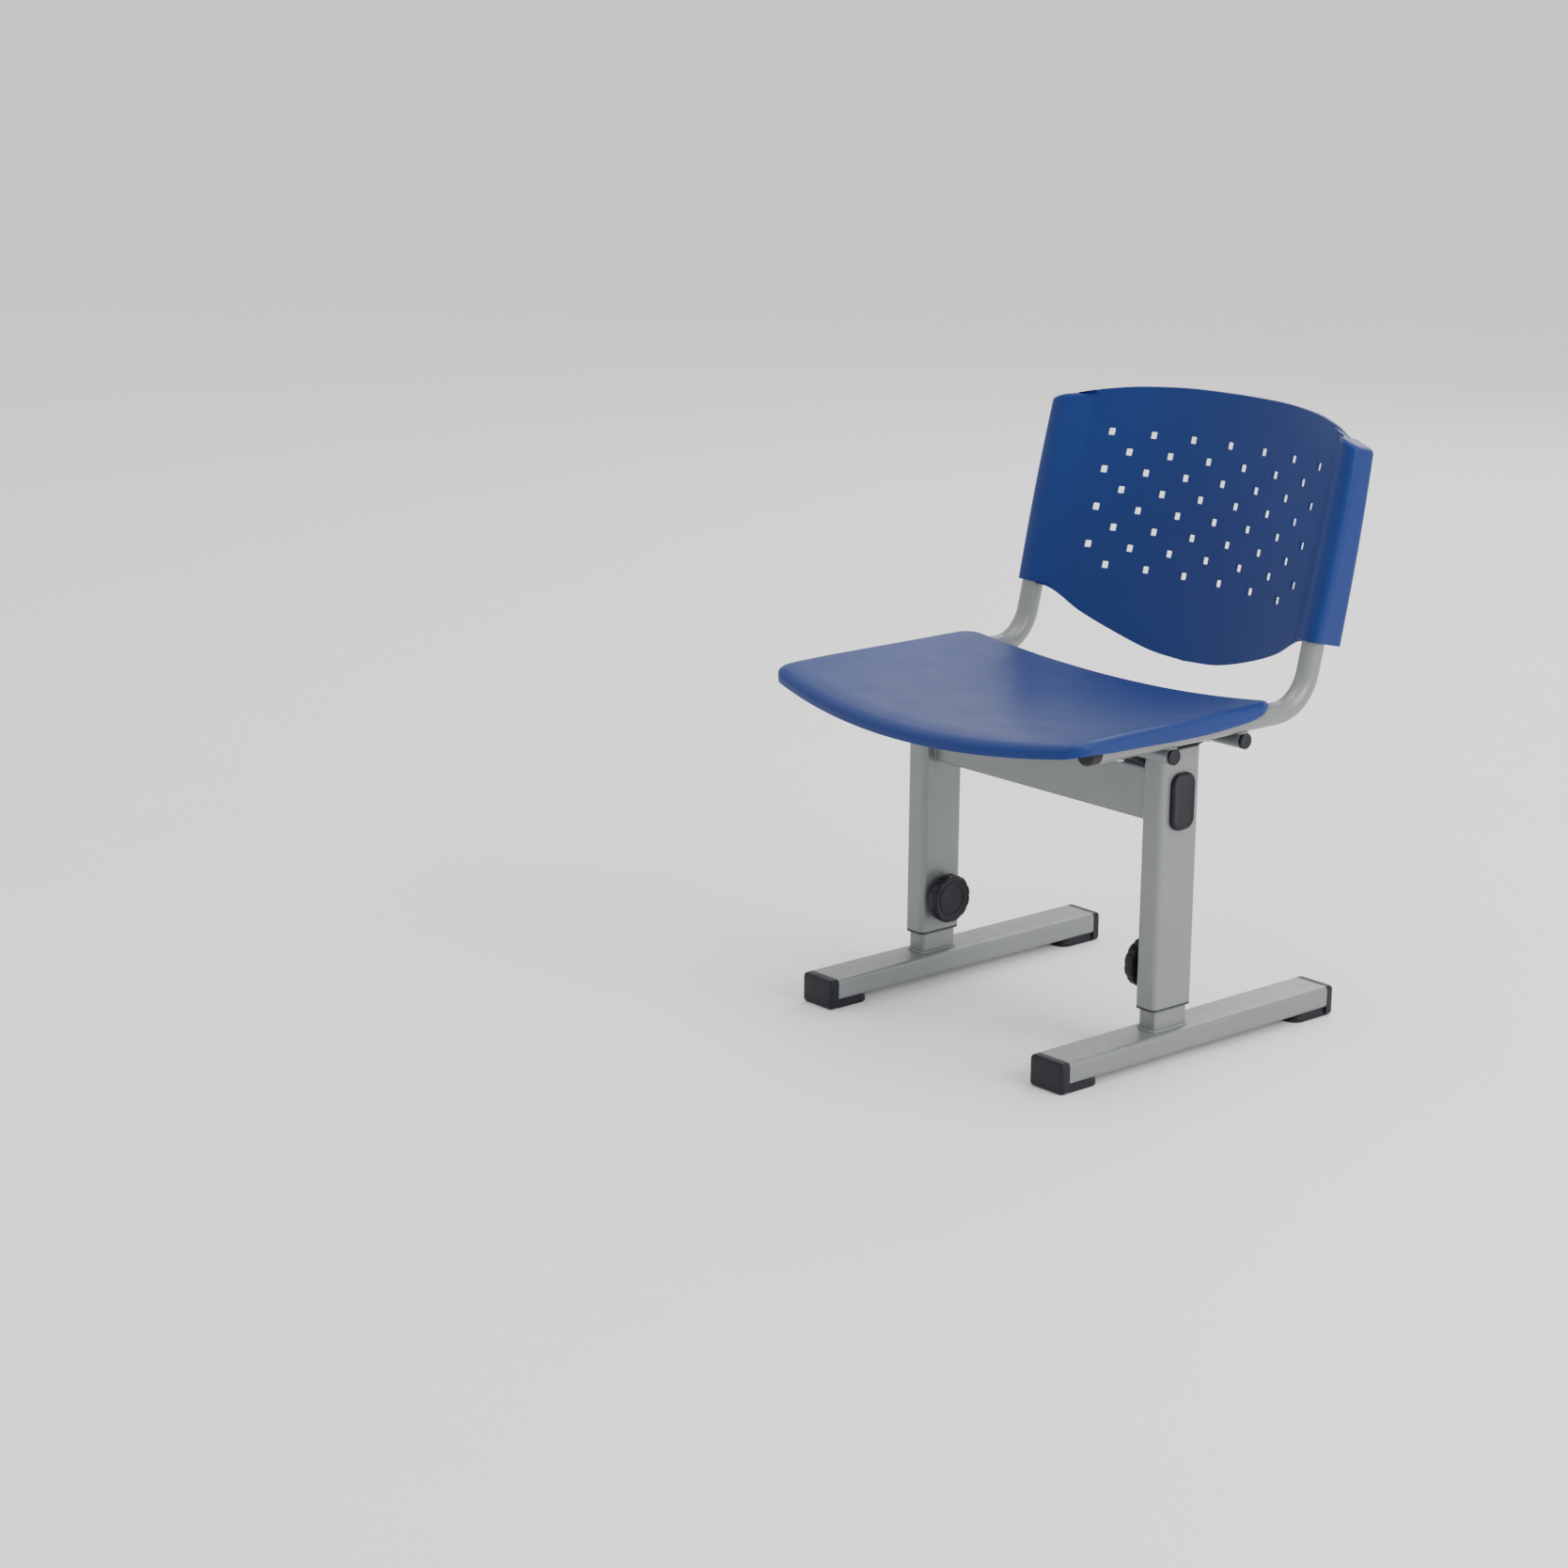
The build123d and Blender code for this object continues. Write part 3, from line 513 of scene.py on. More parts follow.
def moulded_plastic(name, rgba, gloss, grain, sheen, light=1.06):
    """Moulded plastic: fine leather-like grain, flow marks in the colour and light scratches."""
    f = Finish(name)
    flow = f.noise(1.0, 6.0, 0.5, f.stretched((5.0, 9.0, 7.0)))
    base = f.blend(f.ranged(flow, 0.3, 0.72), shade(rgba, 0.96), shade(rgba, light))
    scuff = f.noise(1.0, 9.0, 0.75, f.stretched((240.0, 36.0, 60.0)))
    base = f.blend(f.ranged(scuff, 0.68, 0.80, 0.0, 0.16), base, shade(rgba, 1.9))
    dull = f.noise(22.0, 5.0, 0.6)
    rough = f.ranged(dull, 0.32, 0.70, *gloss)
    f.raise_by(f.cells(1500.0), grain, 0.5)
    f.raise_by(f.noise(26.0, 2.0), 0.00010, 0.12)
    return f.done(
        base, rough, IOR=1.49, Specular_IOR_Level=0.26, Sheen_Weight=sheen, Sheen_Roughness=0.5
    )


def plated_steel(name, rgba):
    """Zinc-plated steel: bright grey with cloudy passivation and turning marks."""
    f = Finish(name)
    cloud = f.noise(140.0, 5.0)
    base = f.blend(f.ranged(cloud, 0.35, 0.7), shade(rgba, 0.82), rgba)
    marks = f.noise(1.0, 3.0, 0.5, f.stretched((2500.0, 300.0, 300.0)))
    f.raise_by(marks, 0.00003, 0.3)
    return f.done(base, f.ranged(cloud, 0.3, 0.7, 0.24, 0.42), Metallic=0.9)


def studio_floor(name, rgba):
    """Plain pale floor with a barely visible mottle."""
    f = Finish(name)
    base = f.blend(f.ranged(f.noise(2.0, 3.0), 0.3, 0.7), shade(rgba, 0.985), rgba)
    return f.done(base, f.ranged(f.noise(8.0), 0.3, 0.7, 0.7, 0.8))


def finishes(colours):
    """The chair's finishes, made once and shared by all of its pieces."""
    recipes = {
        "silver": (powder_coat, "Silver powder coat", colours.silver, 0.30),
        # The bracket finish is painted shade: black for the shaded gap under the seat.
        "black_paint": (powder_coat, "Black bracket paint", colours.black_paint, 0.05),
        "blue": (moulded_plastic, "Blue moulded shell", colours.blue, (0.38, 0.45), 0.00005, 0.03),
        "black": (moulded_plastic, "Black moulded fittings", colours.black, (0.38, 0.55), 0.00006, 0.02, 1.3),
        "nylon": (moulded_plastic, "Guide nylon", colours.nylon, (0.45, 0.60), 0.00003, 0.0, 1.2),
        "zinc": (plated_steel, "Zinc plating", colours.zinc),
        "floor": (studio_floor, "Studio floor", colours.floor),
    }
    known = bpy.data.materials
    return {key: known.get(name) or make(name, *rest) for key, (make, name, *rest) in recipes.items()}


def dress(node, material):
    """Gives a CAD piece that stays in view its finish."""
    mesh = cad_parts[node].data
    mesh.materials.clear()
    mesh.materials.append(material)


# ---------------------------------------------------------------- seat


def seat_plan(p):
    """Seat's outline seen from above, anticlockwise from the front right corner: a rectangle with rounded
    corners whose front and rear edges bow out by bow times (1 - (x / half width) squared). The bow fades
    down the sides with the sixth power of the distance from the seat's middle."""
    depth, middle_y = SEAT_REAR - SEAT_FRONT, (SEAT_REAR + SEAT_FRONT) / 2
    corners = (p.corner_front, p.corner_rear, p.corner_rear, p.corner_front)
    points, _ = rounded_rectangle(2 * SEAT_HALF_WIDTH, depth, corners, 10, 72)
    bow = np.where(points[:, 1] > 0, p.bow_rear, -p.bow_front)
    share = np.clip(np.abs(points[:, 1]) / (depth / 2), 0, 1) ** 6
    points[:, 1] += middle_y + bow * (1 - (points[:, 0] / SEAT_HALF_WIDTH) ** 2) * share
    return points, loop_normals(points)


def seat_height(xy, p):
    """Height of the seat's top. m is 1 - (x / half width) squared. From the rear edge to the front lip
    the sides fall by one curve, and the middle sags a further m times a second curve."""
    x, y = xy[..., 0], xy[..., 1]
    m = 1 - np.clip(np.abs(x) / SEAT_HALF_WIDTH, 0, 1) ** 2
    rear = SEAT_REAR + p.bow_rear * m
    front = SEAT_FRONT - p.bow_front * m
    f = (rear - y) / (rear - front)
    stations = (-0.05, 0.0, 0.10, 0.35, 0.60, 0.82, 0.94, 1.0, 1.02)
    fall = np.array([0, 0, 0, 0, 0, 0.5, 2.0, 5.0, 6.4]) * 0.001
    lip = p.lip_drop - 0.76 * p.dish
    sag = np.array([0.74, 0.78, 0.88, 1.00, 0.92, 0.80, 0.76, 0.76, 0.76]) * p.dish
    sag += np.array([0, 0, 0, 0, 0, 0, 0, lip, lip * 1.4])
    return SEAT_SIDE_Z - smooth_curve(f, stations, fall) - m * smooth_curve(f, stations, sag)


def seat_shell(p):
    """The seat as one closed surface. Rows of the grid run from the middle of the top out towards the
    outline, over the edge in a quarter of an ellipse, down the skirt, back under it and in to the middle
    of the underside."""
    plan, normal = seat_plan(p)
    centre = np.array([0.0, COLUMN_Y - 0.060])
    spread = np.sin(np.linspace(0, pi / 2, 46))[:-1, None, None]
    side = np.abs(normal[:, 0]) ** 2
    front = np.clip(-normal[:, 1], 0, 1) ** 2
    stations = np.array([-0.204, -0.150, -0.100, 0.030, 0.070, 0.098]) + COLUMN_Y
    depths = (p.skirt_front, 0.9 * p.skirt, p.skirt, p.skirt, 0.8 * p.skirt, p.skirt_rear)
    depth = smooth_curve(plan[:, 1], stations, depths)
    drop = p.thickness + 0.001 + (depth - p.thickness - 0.001) * side + (p.lip - p.thickness) * front
    roll = p.rim * (0.35 + 0.65 * np.maximum(side, front))
    fall = p.rim_drop * (0.30 + 0.70 * np.maximum(side, front))
    edge_z = seat_height(plan, p)

    top = centre + (plan - roll[:, None] * normal - centre) * spread
    turn = np.linspace(0, pi / 2, 11)[:, None]
    rim = plan - (roll * (1 - np.sin(turn)))[..., None] * normal
    rim_z = seat_height(rim, p) - fall * (1 - np.cos(turn))
    wall_z = np.linspace(rim_z[-1], edge_z - drop + 0.0009, 4)[1:]
    low_along, low_inset = quarter(0.0009, 3)
    low = plan - low_inset[::-1, None, None] * normal
    low_z = edge_z - drop + low_along[::-1, None]
    wall = 0.004
    inner = plan - (wall + (roll - wall) * np.linspace(0, 1, 6)[:, None])[..., None] * normal
    beneath = seat_height(inner, p) - p.thickness - fall * (1 - np.linspace(0, 1, 6)[:, None]) ** 2
    inner_z = np.concatenate([(edge_z - drop)[None], np.maximum(beneath, edge_z - drop)])
    inner = np.concatenate([inner[:1], inner])
    under = centre + (inner[-1] - centre) * spread[::-1]
    flat = [top, rim, np.broadcast_to(plan, (3, *plan.shape)), low[1:], inner, under]
    heights = [seat_height(top, p), rim_z, wall_z, low_z[1:], inner_z, seat_height(under, p) - p.thickness]
    rows = np.concatenate([np.concatenate(flat), np.concatenate(heights)[..., None]], 2)
    return rows, grid_faces(len(rows), rows.shape[1])


def seat_rib(start, end, p, width=0.0022):
    """A stiffening rib under the seat: a thin strip from start to end whose top lies in the seat's wall and
    whose foot hangs a rib's height below it, following the dish."""
    f = np.linspace(0, 1, 60)[:, None]
    run = np.asarray(end) - np.asarray(start)
    line = np.asarray(start) + run * f
    ahead = run / hypot(*run)
    beside = np.array([-ahead[1], ahead[0]]) * width / 2
    z = seat_height(line, p) - p.thickness
    fade = np.clip(np.minimum(f[:, 0], 1 - f[:, 0]) * 16, 0.05, 1)
    foot = z - p.rib * fade
    root = z + 0.001
    outline = ((1.15, root), (1.0, z), (0.8, foot), (-0.8, foot), (-1.0, z), (-1.15, root))
    section = [np.concatenate([line + beside * offset, height[:, None]], 1) for offset, height in outline]
    return capped(np.stack(section, 1))


def saddle(x, y):
    """Block under the seat that sits on the rail: a rounded rectangle from the rail up into the seat."""
    top = RAIL_Z + RAIL_RADIUS + 0.0024
    loop = rounded_rectangle(0.034, 0.030, 0.003, 5)
    return solid_bar(loop, RAIL_Z + 0.0075, top, (x, y, 0), (X, Y, Z), 0.0008)


class CHAIR_OT_seat(bpy.types.Operator):
    """Makes the moulded seat with its rim, skirts, ribs and saddles"""

    bl_idname = "chair.seat"
    bl_label = "Seat"

    def execute(self, context):
        chair = context.scene.student_chair
        p = chair.seat
        shells = [seat_shell(p)]
        for x in (-0.15, -0.09, -0.03, 0.03, 0.09, 0.15):
            shells.append(seat_rib((x, COLUMN_Y - 0.205), (x, COLUMN_Y + 0.098), p))
        for y in (COLUMN_Y - 0.170, COLUMN_Y - 0.120, COLUMN_Y - 0.005, COLUMN_Y + 0.015):
            shells.append(seat_rib((-0.185, y), (0.185, y), p))
        for s in (-1, 1):
            for y in SEAT_SCREW_Y:
                shells.append(saddle(s * RAIL_X, y))
        make_piece(
            "seat_moulding",
            shells,
            finishes(chair.colours)["blue"],
            "upper_frame",
            ("seat_shell",),
            level=False,
        )
        return {"FINISHED"}


# ---------------------------------------------------------------- backrest

# Heights of the panel's top and bottom edges against the distance from the middle.
BACK_TOP = ((0, 0.090, 0.155, 0.190, 0.210, 0.220), (0.677, 0.6758, 0.6705, 0.6640, 0.6570, 0.6520))
BACK_BOTTOM = (
    (0, 0.050, 0.100, 0.150, 0.196, 0.212, 0.225),
    (0.379, 0.383, 0.396, 0.415, 0.4400, 0.4425, 0.4435),
)
SLEEVE_LOW, SLEEVE_HIGH = 0.442, 0.6565
SLEEVE_FRONT = -0.0152
HOLE_TOP = 0.620
BACK_SCREW_Z = 0.466


def back_face_y(z, p):
    """Depth, in the middle of the chair, of the face that the sitter leans on: a straight line leaning
    back by the lean."""
    return COLUMN_Y + 0.256 + (z - 0.546) * tan(p.lean)


def back_point(arc, z, behind, p):
    """Point of the backrest at a distance along its curve and a height: a circle in plan, tipped back by
    the lean, at a distance behind the face that the sitter leans on."""
    turn = arc / p.curve
    r = p.curve + behind
    return np.stack([r * np.sin(turn), back_face_y(z, p) - p.curve + r * np.cos(turn), z], -1)


def back_panel(p):
    """The curved panel as a closed pierced sheet. Grid lines run through both edges of every hole; above and
    below the holes they fan out to the arched top and the bellied bottom."""
    half = p.hole / 2
    columns = (np.arange(-6, 7) * p.pitch / 2)[:, None] + np.array([-half, 0, half])
    gap = (p.pitch / 2 - p.hole) / 3
    between = (columns[:-1, 2:] + gap * np.array([1, 2])).ravel()
    outer = np.linspace(columns[-1, 2], 0.2215, 12)[1:]
    arc = np.sort(np.concatenate([columns.ravel(), between, outer, -outer]))
    heights = (HOLE_TOP - np.arange(p.rows) * p.row)[:, None] + np.array([half, 0, -half])
    space = (heights[:-1, 2:] - (p.row - p.hole) * np.array([1, 2]) / 3).ravel()
    level = np.sort(np.concatenate([heights.ravel(), space]))

    across = np.abs(p.curve * np.sin(arc / p.curve))
    top, bottom = smooth_curve(across, *BACK_TOP), smooth_curve(across, *BACK_BOTTOM)
    low = bottom[None] + (level[0] - bottom[None]) * (1 - (1 - np.linspace(0, 1, 15)[:-1, None]) ** 1.2)
    high = level[-1] + (top[None] - level[-1]) * np.linspace(0, 1, 11)[1:, None]
    z = np.concatenate([low, np.broadcast_to(level[:, None], (len(level), len(arc))), high])
    arcs = np.broadcast_to(arc, z.shape)

    middle_z, middle_arc = (z[:-1] + z[1:])[:, :-1] / 2, ((arcs[:, :-1] + arcs[:, 1:]) / 2)[:-1]
    row = np.round((HOLE_TOP - middle_z) / p.row)
    place = np.round(middle_arc / (p.pitch / 2))
    hole = (
        (np.abs(HOLE_TOP - row * p.row - middle_z) < half)
        & (np.abs(place * p.pitch / 2 - middle_arc) < half)
        & (row >= 0)
        & (row < p.rows)
        & (np.abs(place) <= 6)
        & ((place + row) % 2 == 0)
    )
    return pierced_sheet(back_point(arcs, z, 0.0, p), back_point(arcs, z, p.thickness, p), ~hole)


def sleeve_section(z, behind, p):
    """Loop round a post at height z, as outward and rearward distances from its axis. It leaves the panel's
    face at a shallow angle, passes in front of the post, turns a wide corner to the outer side, runs back
    to a distance behind the post and returns to the panel."""
    half, foot = p.sleeve_width / 2, -0.034
    centre = back_face_y(z, p) - post_y(z) - p.curve
    inner_y, foot_y = (
        (centre + (p.curve**2 - (RAIL_X + x) ** 2) ** 0.5) * cos(POST_LEAN) for x in (-half, foot)
    )
    corners = (
        (half, SLEEVE_FRONT),
        (half, behind),
        (-half, behind),
        (-half, inner_y + 0.0022),
        (foot, foot_y + 0.0010),
        (-0.006, SLEEVE_FRONT),
    )
    return polygon_loop(corners, (0.0115, 0.0085, 0.0085, 0.0015, 0.0015, 0.0085), 9)


def back_sleeve(side, p):
    """Sleeve for one post: the section at the mouth blended evenly into the section at the top. Its outer
    side swells halfway up by a sine, the domed top slopes with the panel's top edge, and the mouth opens
    to a round bore."""
    rise = (SLEEVE_HIGH - SLEEVE_LOW) / cos(POST_LEAN)
    dome, mouth, bore_radius, bore_depth = 0.006, 0.0012, 0.0128, 0.030
    dome_along, dome_inset = quarter(dome, 8)
    mouth_along, mouth_inset = quarter(mouth, 4)
    straight = np.linspace(mouth, rise - dome, 26)[1:-1]
    along = np.concatenate([mouth_along, straight, (rise - dome_along)[::-1]])
    inset = np.concatenate([mouth_inset, np.zeros(len(straight)), dome_inset[::-1]])[:, None, None]
    part = (along / rise)[:, None]
    low, low_normal = sleeve_section(SLEEVE_LOW, 0.0315, p)
    high, high_normal = sleeve_section(SLEEVE_HIGH, 0.0215, p)
    blend = part[..., None]
    section = low * (1 - blend) + high * blend - inset * (low_normal * (1 - blend) + high_normal * blend)
    x, y = section[..., 0], section[..., 1]
    slope = -0.34 * x * np.clip((part - 0.75) / 0.25, 0, 1) ** 2
    x = x + p.sleeve_bulge * np.sin(pi * part) * np.clip(x / (p.sleeve_width / 2), 0, 1)
    foot = np.array([side * RAIL_X, post_y(SLEEVE_LOW), SLEEVE_LOW])
    rows = (
        foot
        + side * x[..., None] * X
        + y[..., None] * POST_BACKWARDS
        + (along[:, None] + slope)[..., None] * POST_DIRECTION
    )
    turn = np.arctan2(y[0] + 0.002, x[0])
    bore = np.stack([np.cos(turn), np.sin(turn)], 1) * bore_radius
    ring = foot + side * bore[:, :1] * X + bore[:, 1:] * POST_BACKWARDS
    deep = np.stack([ring + bore_depth * POST_DIRECTION, ring])
    return capped(np.concatenate([deep, rows]))


class CHAIR_OT_backrest(bpy.types.Operator):
    """Makes the moulded backrest with its holes and post sleeves"""

    bl_idname = "chair.backrest"
    bl_label = "Backrest"

    def execute(self, context):
        chair = context.scene.student_chair
        p = chair.back
        material = finishes(chair.colours)["blue"]
        panel = make_piece(
            "backrest_panel",
            [back_panel(p)],
            material,
            "upper_frame",
            ("backrest_shell",),
            level=False,
        )
        edge = panel.modifiers.new("Rounded edges", "BEVEL")
        edge.width, edge.segments, edge.limit_method, edge.angle_limit = p.edge, 2, "ANGLE", radians(50)
        even = panel.modifiers.new("Level shading", "WEIGHTED_NORMAL")
        even.keep_sharp = True
        sleeves = [back_sleeve(s, p) for _, s in SIDES]
        make_piece("backrest_sleeves", sleeves, material, "upper_frame", ())
        return {"FINISHED"}


# ---------------------------------------------------------------- rails and cross tubes


def rail_path(side, bend):
    """Centre line of a rail: straight under the seat, an arc up to the lean of the post, and straight to
    its top."""
    turn = pi / 2 - POST_LEAN
    reach = bend * tan(turn / 2)
    a = np.linspace(0, turn, 30)
    start = np.linspace(RAIL_LOW[1], RAIL_CORNER_Y - reach, 8)[:-1]
    top_y = post_y(RAIL_TOP_Z)
    arc_y, arc_z = RAIL_CORNER_Y - reach + bend * np.sin(a), RAIL_Z + bend * (1 - np.cos(a))
    y = np.concatenate([start, arc_y, np.linspace(arc_y[-1], top_y, 8)[1:]])
    z = np.concatenate([np.full(len(start), RAIL_Z), arc_z, np.linspace(arc_z[-1], RAIL_TOP_Z, 8)[1:]])
    return np.stack([np.full(len(y), side * RAIL_X), y, z], 1)


def round_plug(origin, direction, radius, out, edge, across=X):
    """A tube's end plug: straight, then a quarter circle in to a flat face, with a fine step at its root."""
    along, inset = quarter(edge, 6)
    at = np.concatenate([[-0.004, 0.0, 0.0, 0.0006], (out - along)[::-1], [out - 0.0004]])
    root = (radius - 0.002, radius - 0.002, radius - 0.0006, radius)
    r = np.concatenate([root, radius - inset[::-1], [radius * 0.35]])
    ahead = np.asarray(direction, float)
    path = np.asarray(origin) + at[:, None] * ahead
    beside = np.cross(ahead, across)
    turn = np.linspace(0, 2 * pi, 40, endpoint=False)
    ring = np.cos(turn)[None, :, None] * np.asarray(across) + np.sin(turn)[None, :, None] * beside
    return capped(path[:, None] + r[:, None, None] * ring)


class CHAIR_OT_rails(bpy.types.Operator):
    """Makes the two bent rails, the two cross tubes, their plugs and the weld beads between them"""

    bl_idname = "chair.rails"
    bl_label = "Rails and cross tubes"

    def execute(self, context):
        chair = context.scene.student_chair
        p = chair.tubes
        made = finishes(chair.colours)
        for name, s in SIDES:
            tube, node = swept_tube(rail_path(s, p.bend), RAIL_RADIUS, 40), f"{name}_rail"
            make_piece(f"{name}_rail_tube", [tube], made["silver"], "upper_frame", (node,))
        plugs = [
            round_plug((s * RAIL_X, RAIL_LOW[1], RAIL_Z), -Y, RAIL_RADIUS, 0.016, 0.0042) for _, s in SIDES
        ]
        make_piece("rail_end_plugs", plugs, made["black"], "upper_frame", ("rail_plugs",))

        plugs, beads = [], []
        for end in ("front", "rear"):
            low, high, middle, size = box(f"{end}_cross_tube")
            radius = size[2] / 2
            path = np.linspace((low[0], middle[1], middle[2]), (high[0], middle[1], middle[2]), 9)
            tube = swept_tube(path, radius, 32, across=Y)
            node = f"{end}_cross_tube"
            make_piece(f"{end}_cross_rod", [tube], made["silver"], "upper_frame", (node,))
            for s in (-1, 1):
                tip = (s * size[0] / 2, middle[1], middle[2])
                plugs.append(round_plug(tip, s * X, radius, 0.004, 0.0014, Y))
                a = np.linspace(0, 2 * pi, 60, endpoint=False)
                ring = np.stack([0.0056 * np.cos(a), 0.0056 * np.sin(a), 0 * a], 1)
                seat = (s * RAIL_X, middle[1], middle[2] + radius + 0.0001)
                beads.append(weld_bead(ring + seat, p.bead, p.ripple))
                collar = np.stack([0 * a, radius * np.cos(a), radius * np.sin(a)], 1)
                face = s * (COLUMN_X - COLUMN_SIZE[0] / 2 - 0.0042)
                beads.append(weld_bead(collar + (face, middle[1], middle[2]), p.bead * 0.7, p.ripple))
        node = "cross_tube_plugs"
        make_piece("cross_rod_plugs", plugs, made["black"], "upper_frame", (node,))
        make_piece("rail_weld_beads", beads, made["silver"], "upper_frame", (), level=False)
        return {"FINISHED"}


# ---------------------------------------------------------------- crossbeam, brackets and columns


class CHAIR_OT_crossbeam(bpy.types.Operator):
    """Makes the crossbeam, the two seat brackets and the weld beads between them"""

    bl_idname = "chair.crossbeam"
    bl_label = "Crossbeam and brackets"

    def execute(self, context):
        chair = context.scene.student_chair
        p = chair.tubes
        made = finishes(chair.colours)
        low, high, middle, size = box("crossbeam")
        loop = rounded_rectangle(size[1], size[2], p.beam_corner, 8)
        beam = solid_bar(loop, low[0], high[0], (0, middle[1], middle[2]), (Y, Z, X), 0.0004)
        make_piece("crossbeam_tube", [beam], made["silver"], "upper_frame", ("crossbeam",))

        beads = []
        for name, s in SIDES:
            plate_low, plate_high, _, _ = box(f"{name}_seat_bracket")
            top, front, rear = plate_high[2], plate_low[1], plate_high[1]
            outline = (
                (COLUMN_Y - size[1] / 2, high[2]),
                (COLUMN_Y + size[1] / 2, high[2]),
                (rear, CROSS_Z - 0.004),
                (rear, top),
                (front, top),
                (front, CROSS_Z - 0.008),
            )
            shape = polygon_loop(outline, 0.003)
            plate = solid_bar(shape, plate_low[0], plate_high[0], (0, 0, 0), (Y, Z, X), 0.0007)
            node = f"{name}_seat_bracket"
            # Black bracket finish: painted shade for the dark gap between the beam and the cross tube.
            paint = made["black_paint"]
            make_piece(f"{name}_bracket_plate", [plate], paint, "upper_frame", (node,))
            points, normals = loop
            ring = resampled(points + 0.0002 * normals, 0.0006)
            face = s * (COLUMN_X - COLUMN_SIZE[0] / 2 - 0.0007)
            path = np.stack([np.full(len(ring), face), ring[:, 0] + middle[1], ring[:, 1] + middle[2]], 1)
            beads.append(weld_bead(path, p.bead * 0.75, p.ripple))
        make_piece("beam_weld_beads", beads, made["silver"], "upper_frame", (), level=False)
        return {"FINISHED"}


class CHAIR_OT_columns(bpy.types.Operator):
    """Makes the outer columns with their top plugs and bolt covers, and gives the bushings, guides, nut
    plates and bolts their finishes
    """

    bl_idname = "chair.columns"
    bl_label = "Outer columns"

    def execute(self, context):
        chair = context.scene.student_chair
        p = chair.tubes
        made = finishes(chair.colours)
        loop = rounded_rectangle(COLUMN_SIZE[0], COLUMN_SIZE[1], p.column_corner, 10)
        for name, s in SIDES:
            axis = (s * COLUMN_X, COLUMN_Y, 0)
            tube = hollow_bar(loop, p.wall, COLUMN_LOW[2], COLUMN_HIGH[2], axis, (X, Y, Z))
            node = f"{name}_outer_column"
            make_piece(f"{name}_column_tube", [tube], made["silver"], "upper_frame", (node,))

            low, high, _, _ = box(f"{name}_column_plug")
            inside = 0.0016
            drawn = rounded_rectangle(
                COLUMN_SIZE[0] - 2 * inside, COLUMN_SIZE[1] - 2 * inside, p.column_corner - inside, 10
            )
            plug = [
                solid_bar(loop, COLUMN_HIGH[2] + 0.00005, high[2], axis, (X, Y, Z), 0.0003, 0.0013),
                solid_bar(drawn, low[2], COLUMN_HIGH[2] + 0.001, axis, (X, Y, Z), 0.0006),
            ]
            node = f"{name}_column_plug"
            make_piece(f"{name}_column_cap", plug, made["black"], "upper_frame", (node,))

            low, high, middle, size = box(f"{name}_bolt_cover")
            face = low[0] if s > 0 else high[0]
            pill = rounded_rectangle(size[1], size[2], 0.0130, 12)
            along, inset = quarter(0.0028, 6)
            at = np.concatenate([[0.0, 0.0], (size[0] - along)[::-1], [size[0] - 0.0001, size[0] - 0.0006]])
            draw = np.concatenate([[0.003, 0.0], inset[::-1], [0.0046, 0.0054]])
            rows = carried(pill, at, draw, (face, middle[1], middle[2]), (Y, Z, s * X))
            cover, node = [capped(rows)], f"{name}_bolt_cover"
            make_piece(f"{name}_bolt_cap", cover, made["black"], "upper_frame", (node,))
            dress(f"{name}_column_bushing", made["nylon"])
            dress(f"{name}_column_guide", made["nylon"])
            dress(f"{name}_clamp_nut_plate", made["zinc"])
        dress("beam_bolts", made["zinc"])
        return {"FINISHED"}


# ---------------------------------------------------------------- clamp knobs


def knob_shell(side, p):
    """Clamp knob: a turned hub and disc. The disc's rim is fluted between its lobes, and a raised ring and
    a shallow dish are turned into its face."""
    low, high, middle, size = box(f"{'right' if side > 0 else 'left'}_clamp_knob")
    root = high[0] if side > 0 else low[0]
    rim, face, ring = size[2] / 2, size[0], p.ring
    profile = np.array(
        [
            (0.0, 0.0112, 0),
            (0.0, 0.0120, 0),
            (0.0052, 0.0120, 0),
            (0.0060, 0.0130, 0),
            (0.0063, rim - 0.0030, 0.8),
            (0.0075, rim - 0.0007, 1),
            (0.0095, rim, 1),
            (face - 0.0034, rim, 1),
            (face - 0.0012, rim - 0.0012, 1),
            (face - 0.0002, rim - 0.0036, 0.7),
            (face - 0.0012, ring + 0.0045, 0.2),
            (face - 0.0014, ring + 0.0018, 0),
            (face - 0.0006, ring + 0.0009, 0),
            (face - 0.0003, ring, 0),
            (face - 0.0006, ring - 0.0009, 0),
            (face - 0.0018, ring - 0.0020, 0),
            (face - 0.0022, 0.0030, 0),
        ]
    )
    height, radius, cut = profile.T
    origin, sides = (root, middle[1], middle[2]), 16 * p.lobes
    return turned(height, radius, origin, (Y, Z, -side * X), sides, cut * p.flute, p.lobes)


class CHAIR_OT_knobs(bpy.types.Operator):
    """Makes the two clamp knobs"""

    bl_idname = "chair.knobs"
    bl_label = "Clamp knobs"

    def execute(self, context):
        chair = context.scene.student_chair
        made = finishes(chair.colours)
        for name, s in SIDES:
            make_piece(
                f"{name}_knob",
                [knob_shell(s, chair.knobs)],
                made["black"],
                f"{name}_knob",
                (f"{name}_clamp_knob",),
                level=False,
            )
            dress(f"{name}_clamp_stud", made["zinc"])
        return {"FINISHED"}


# ---------------------------------------------------------------- feet


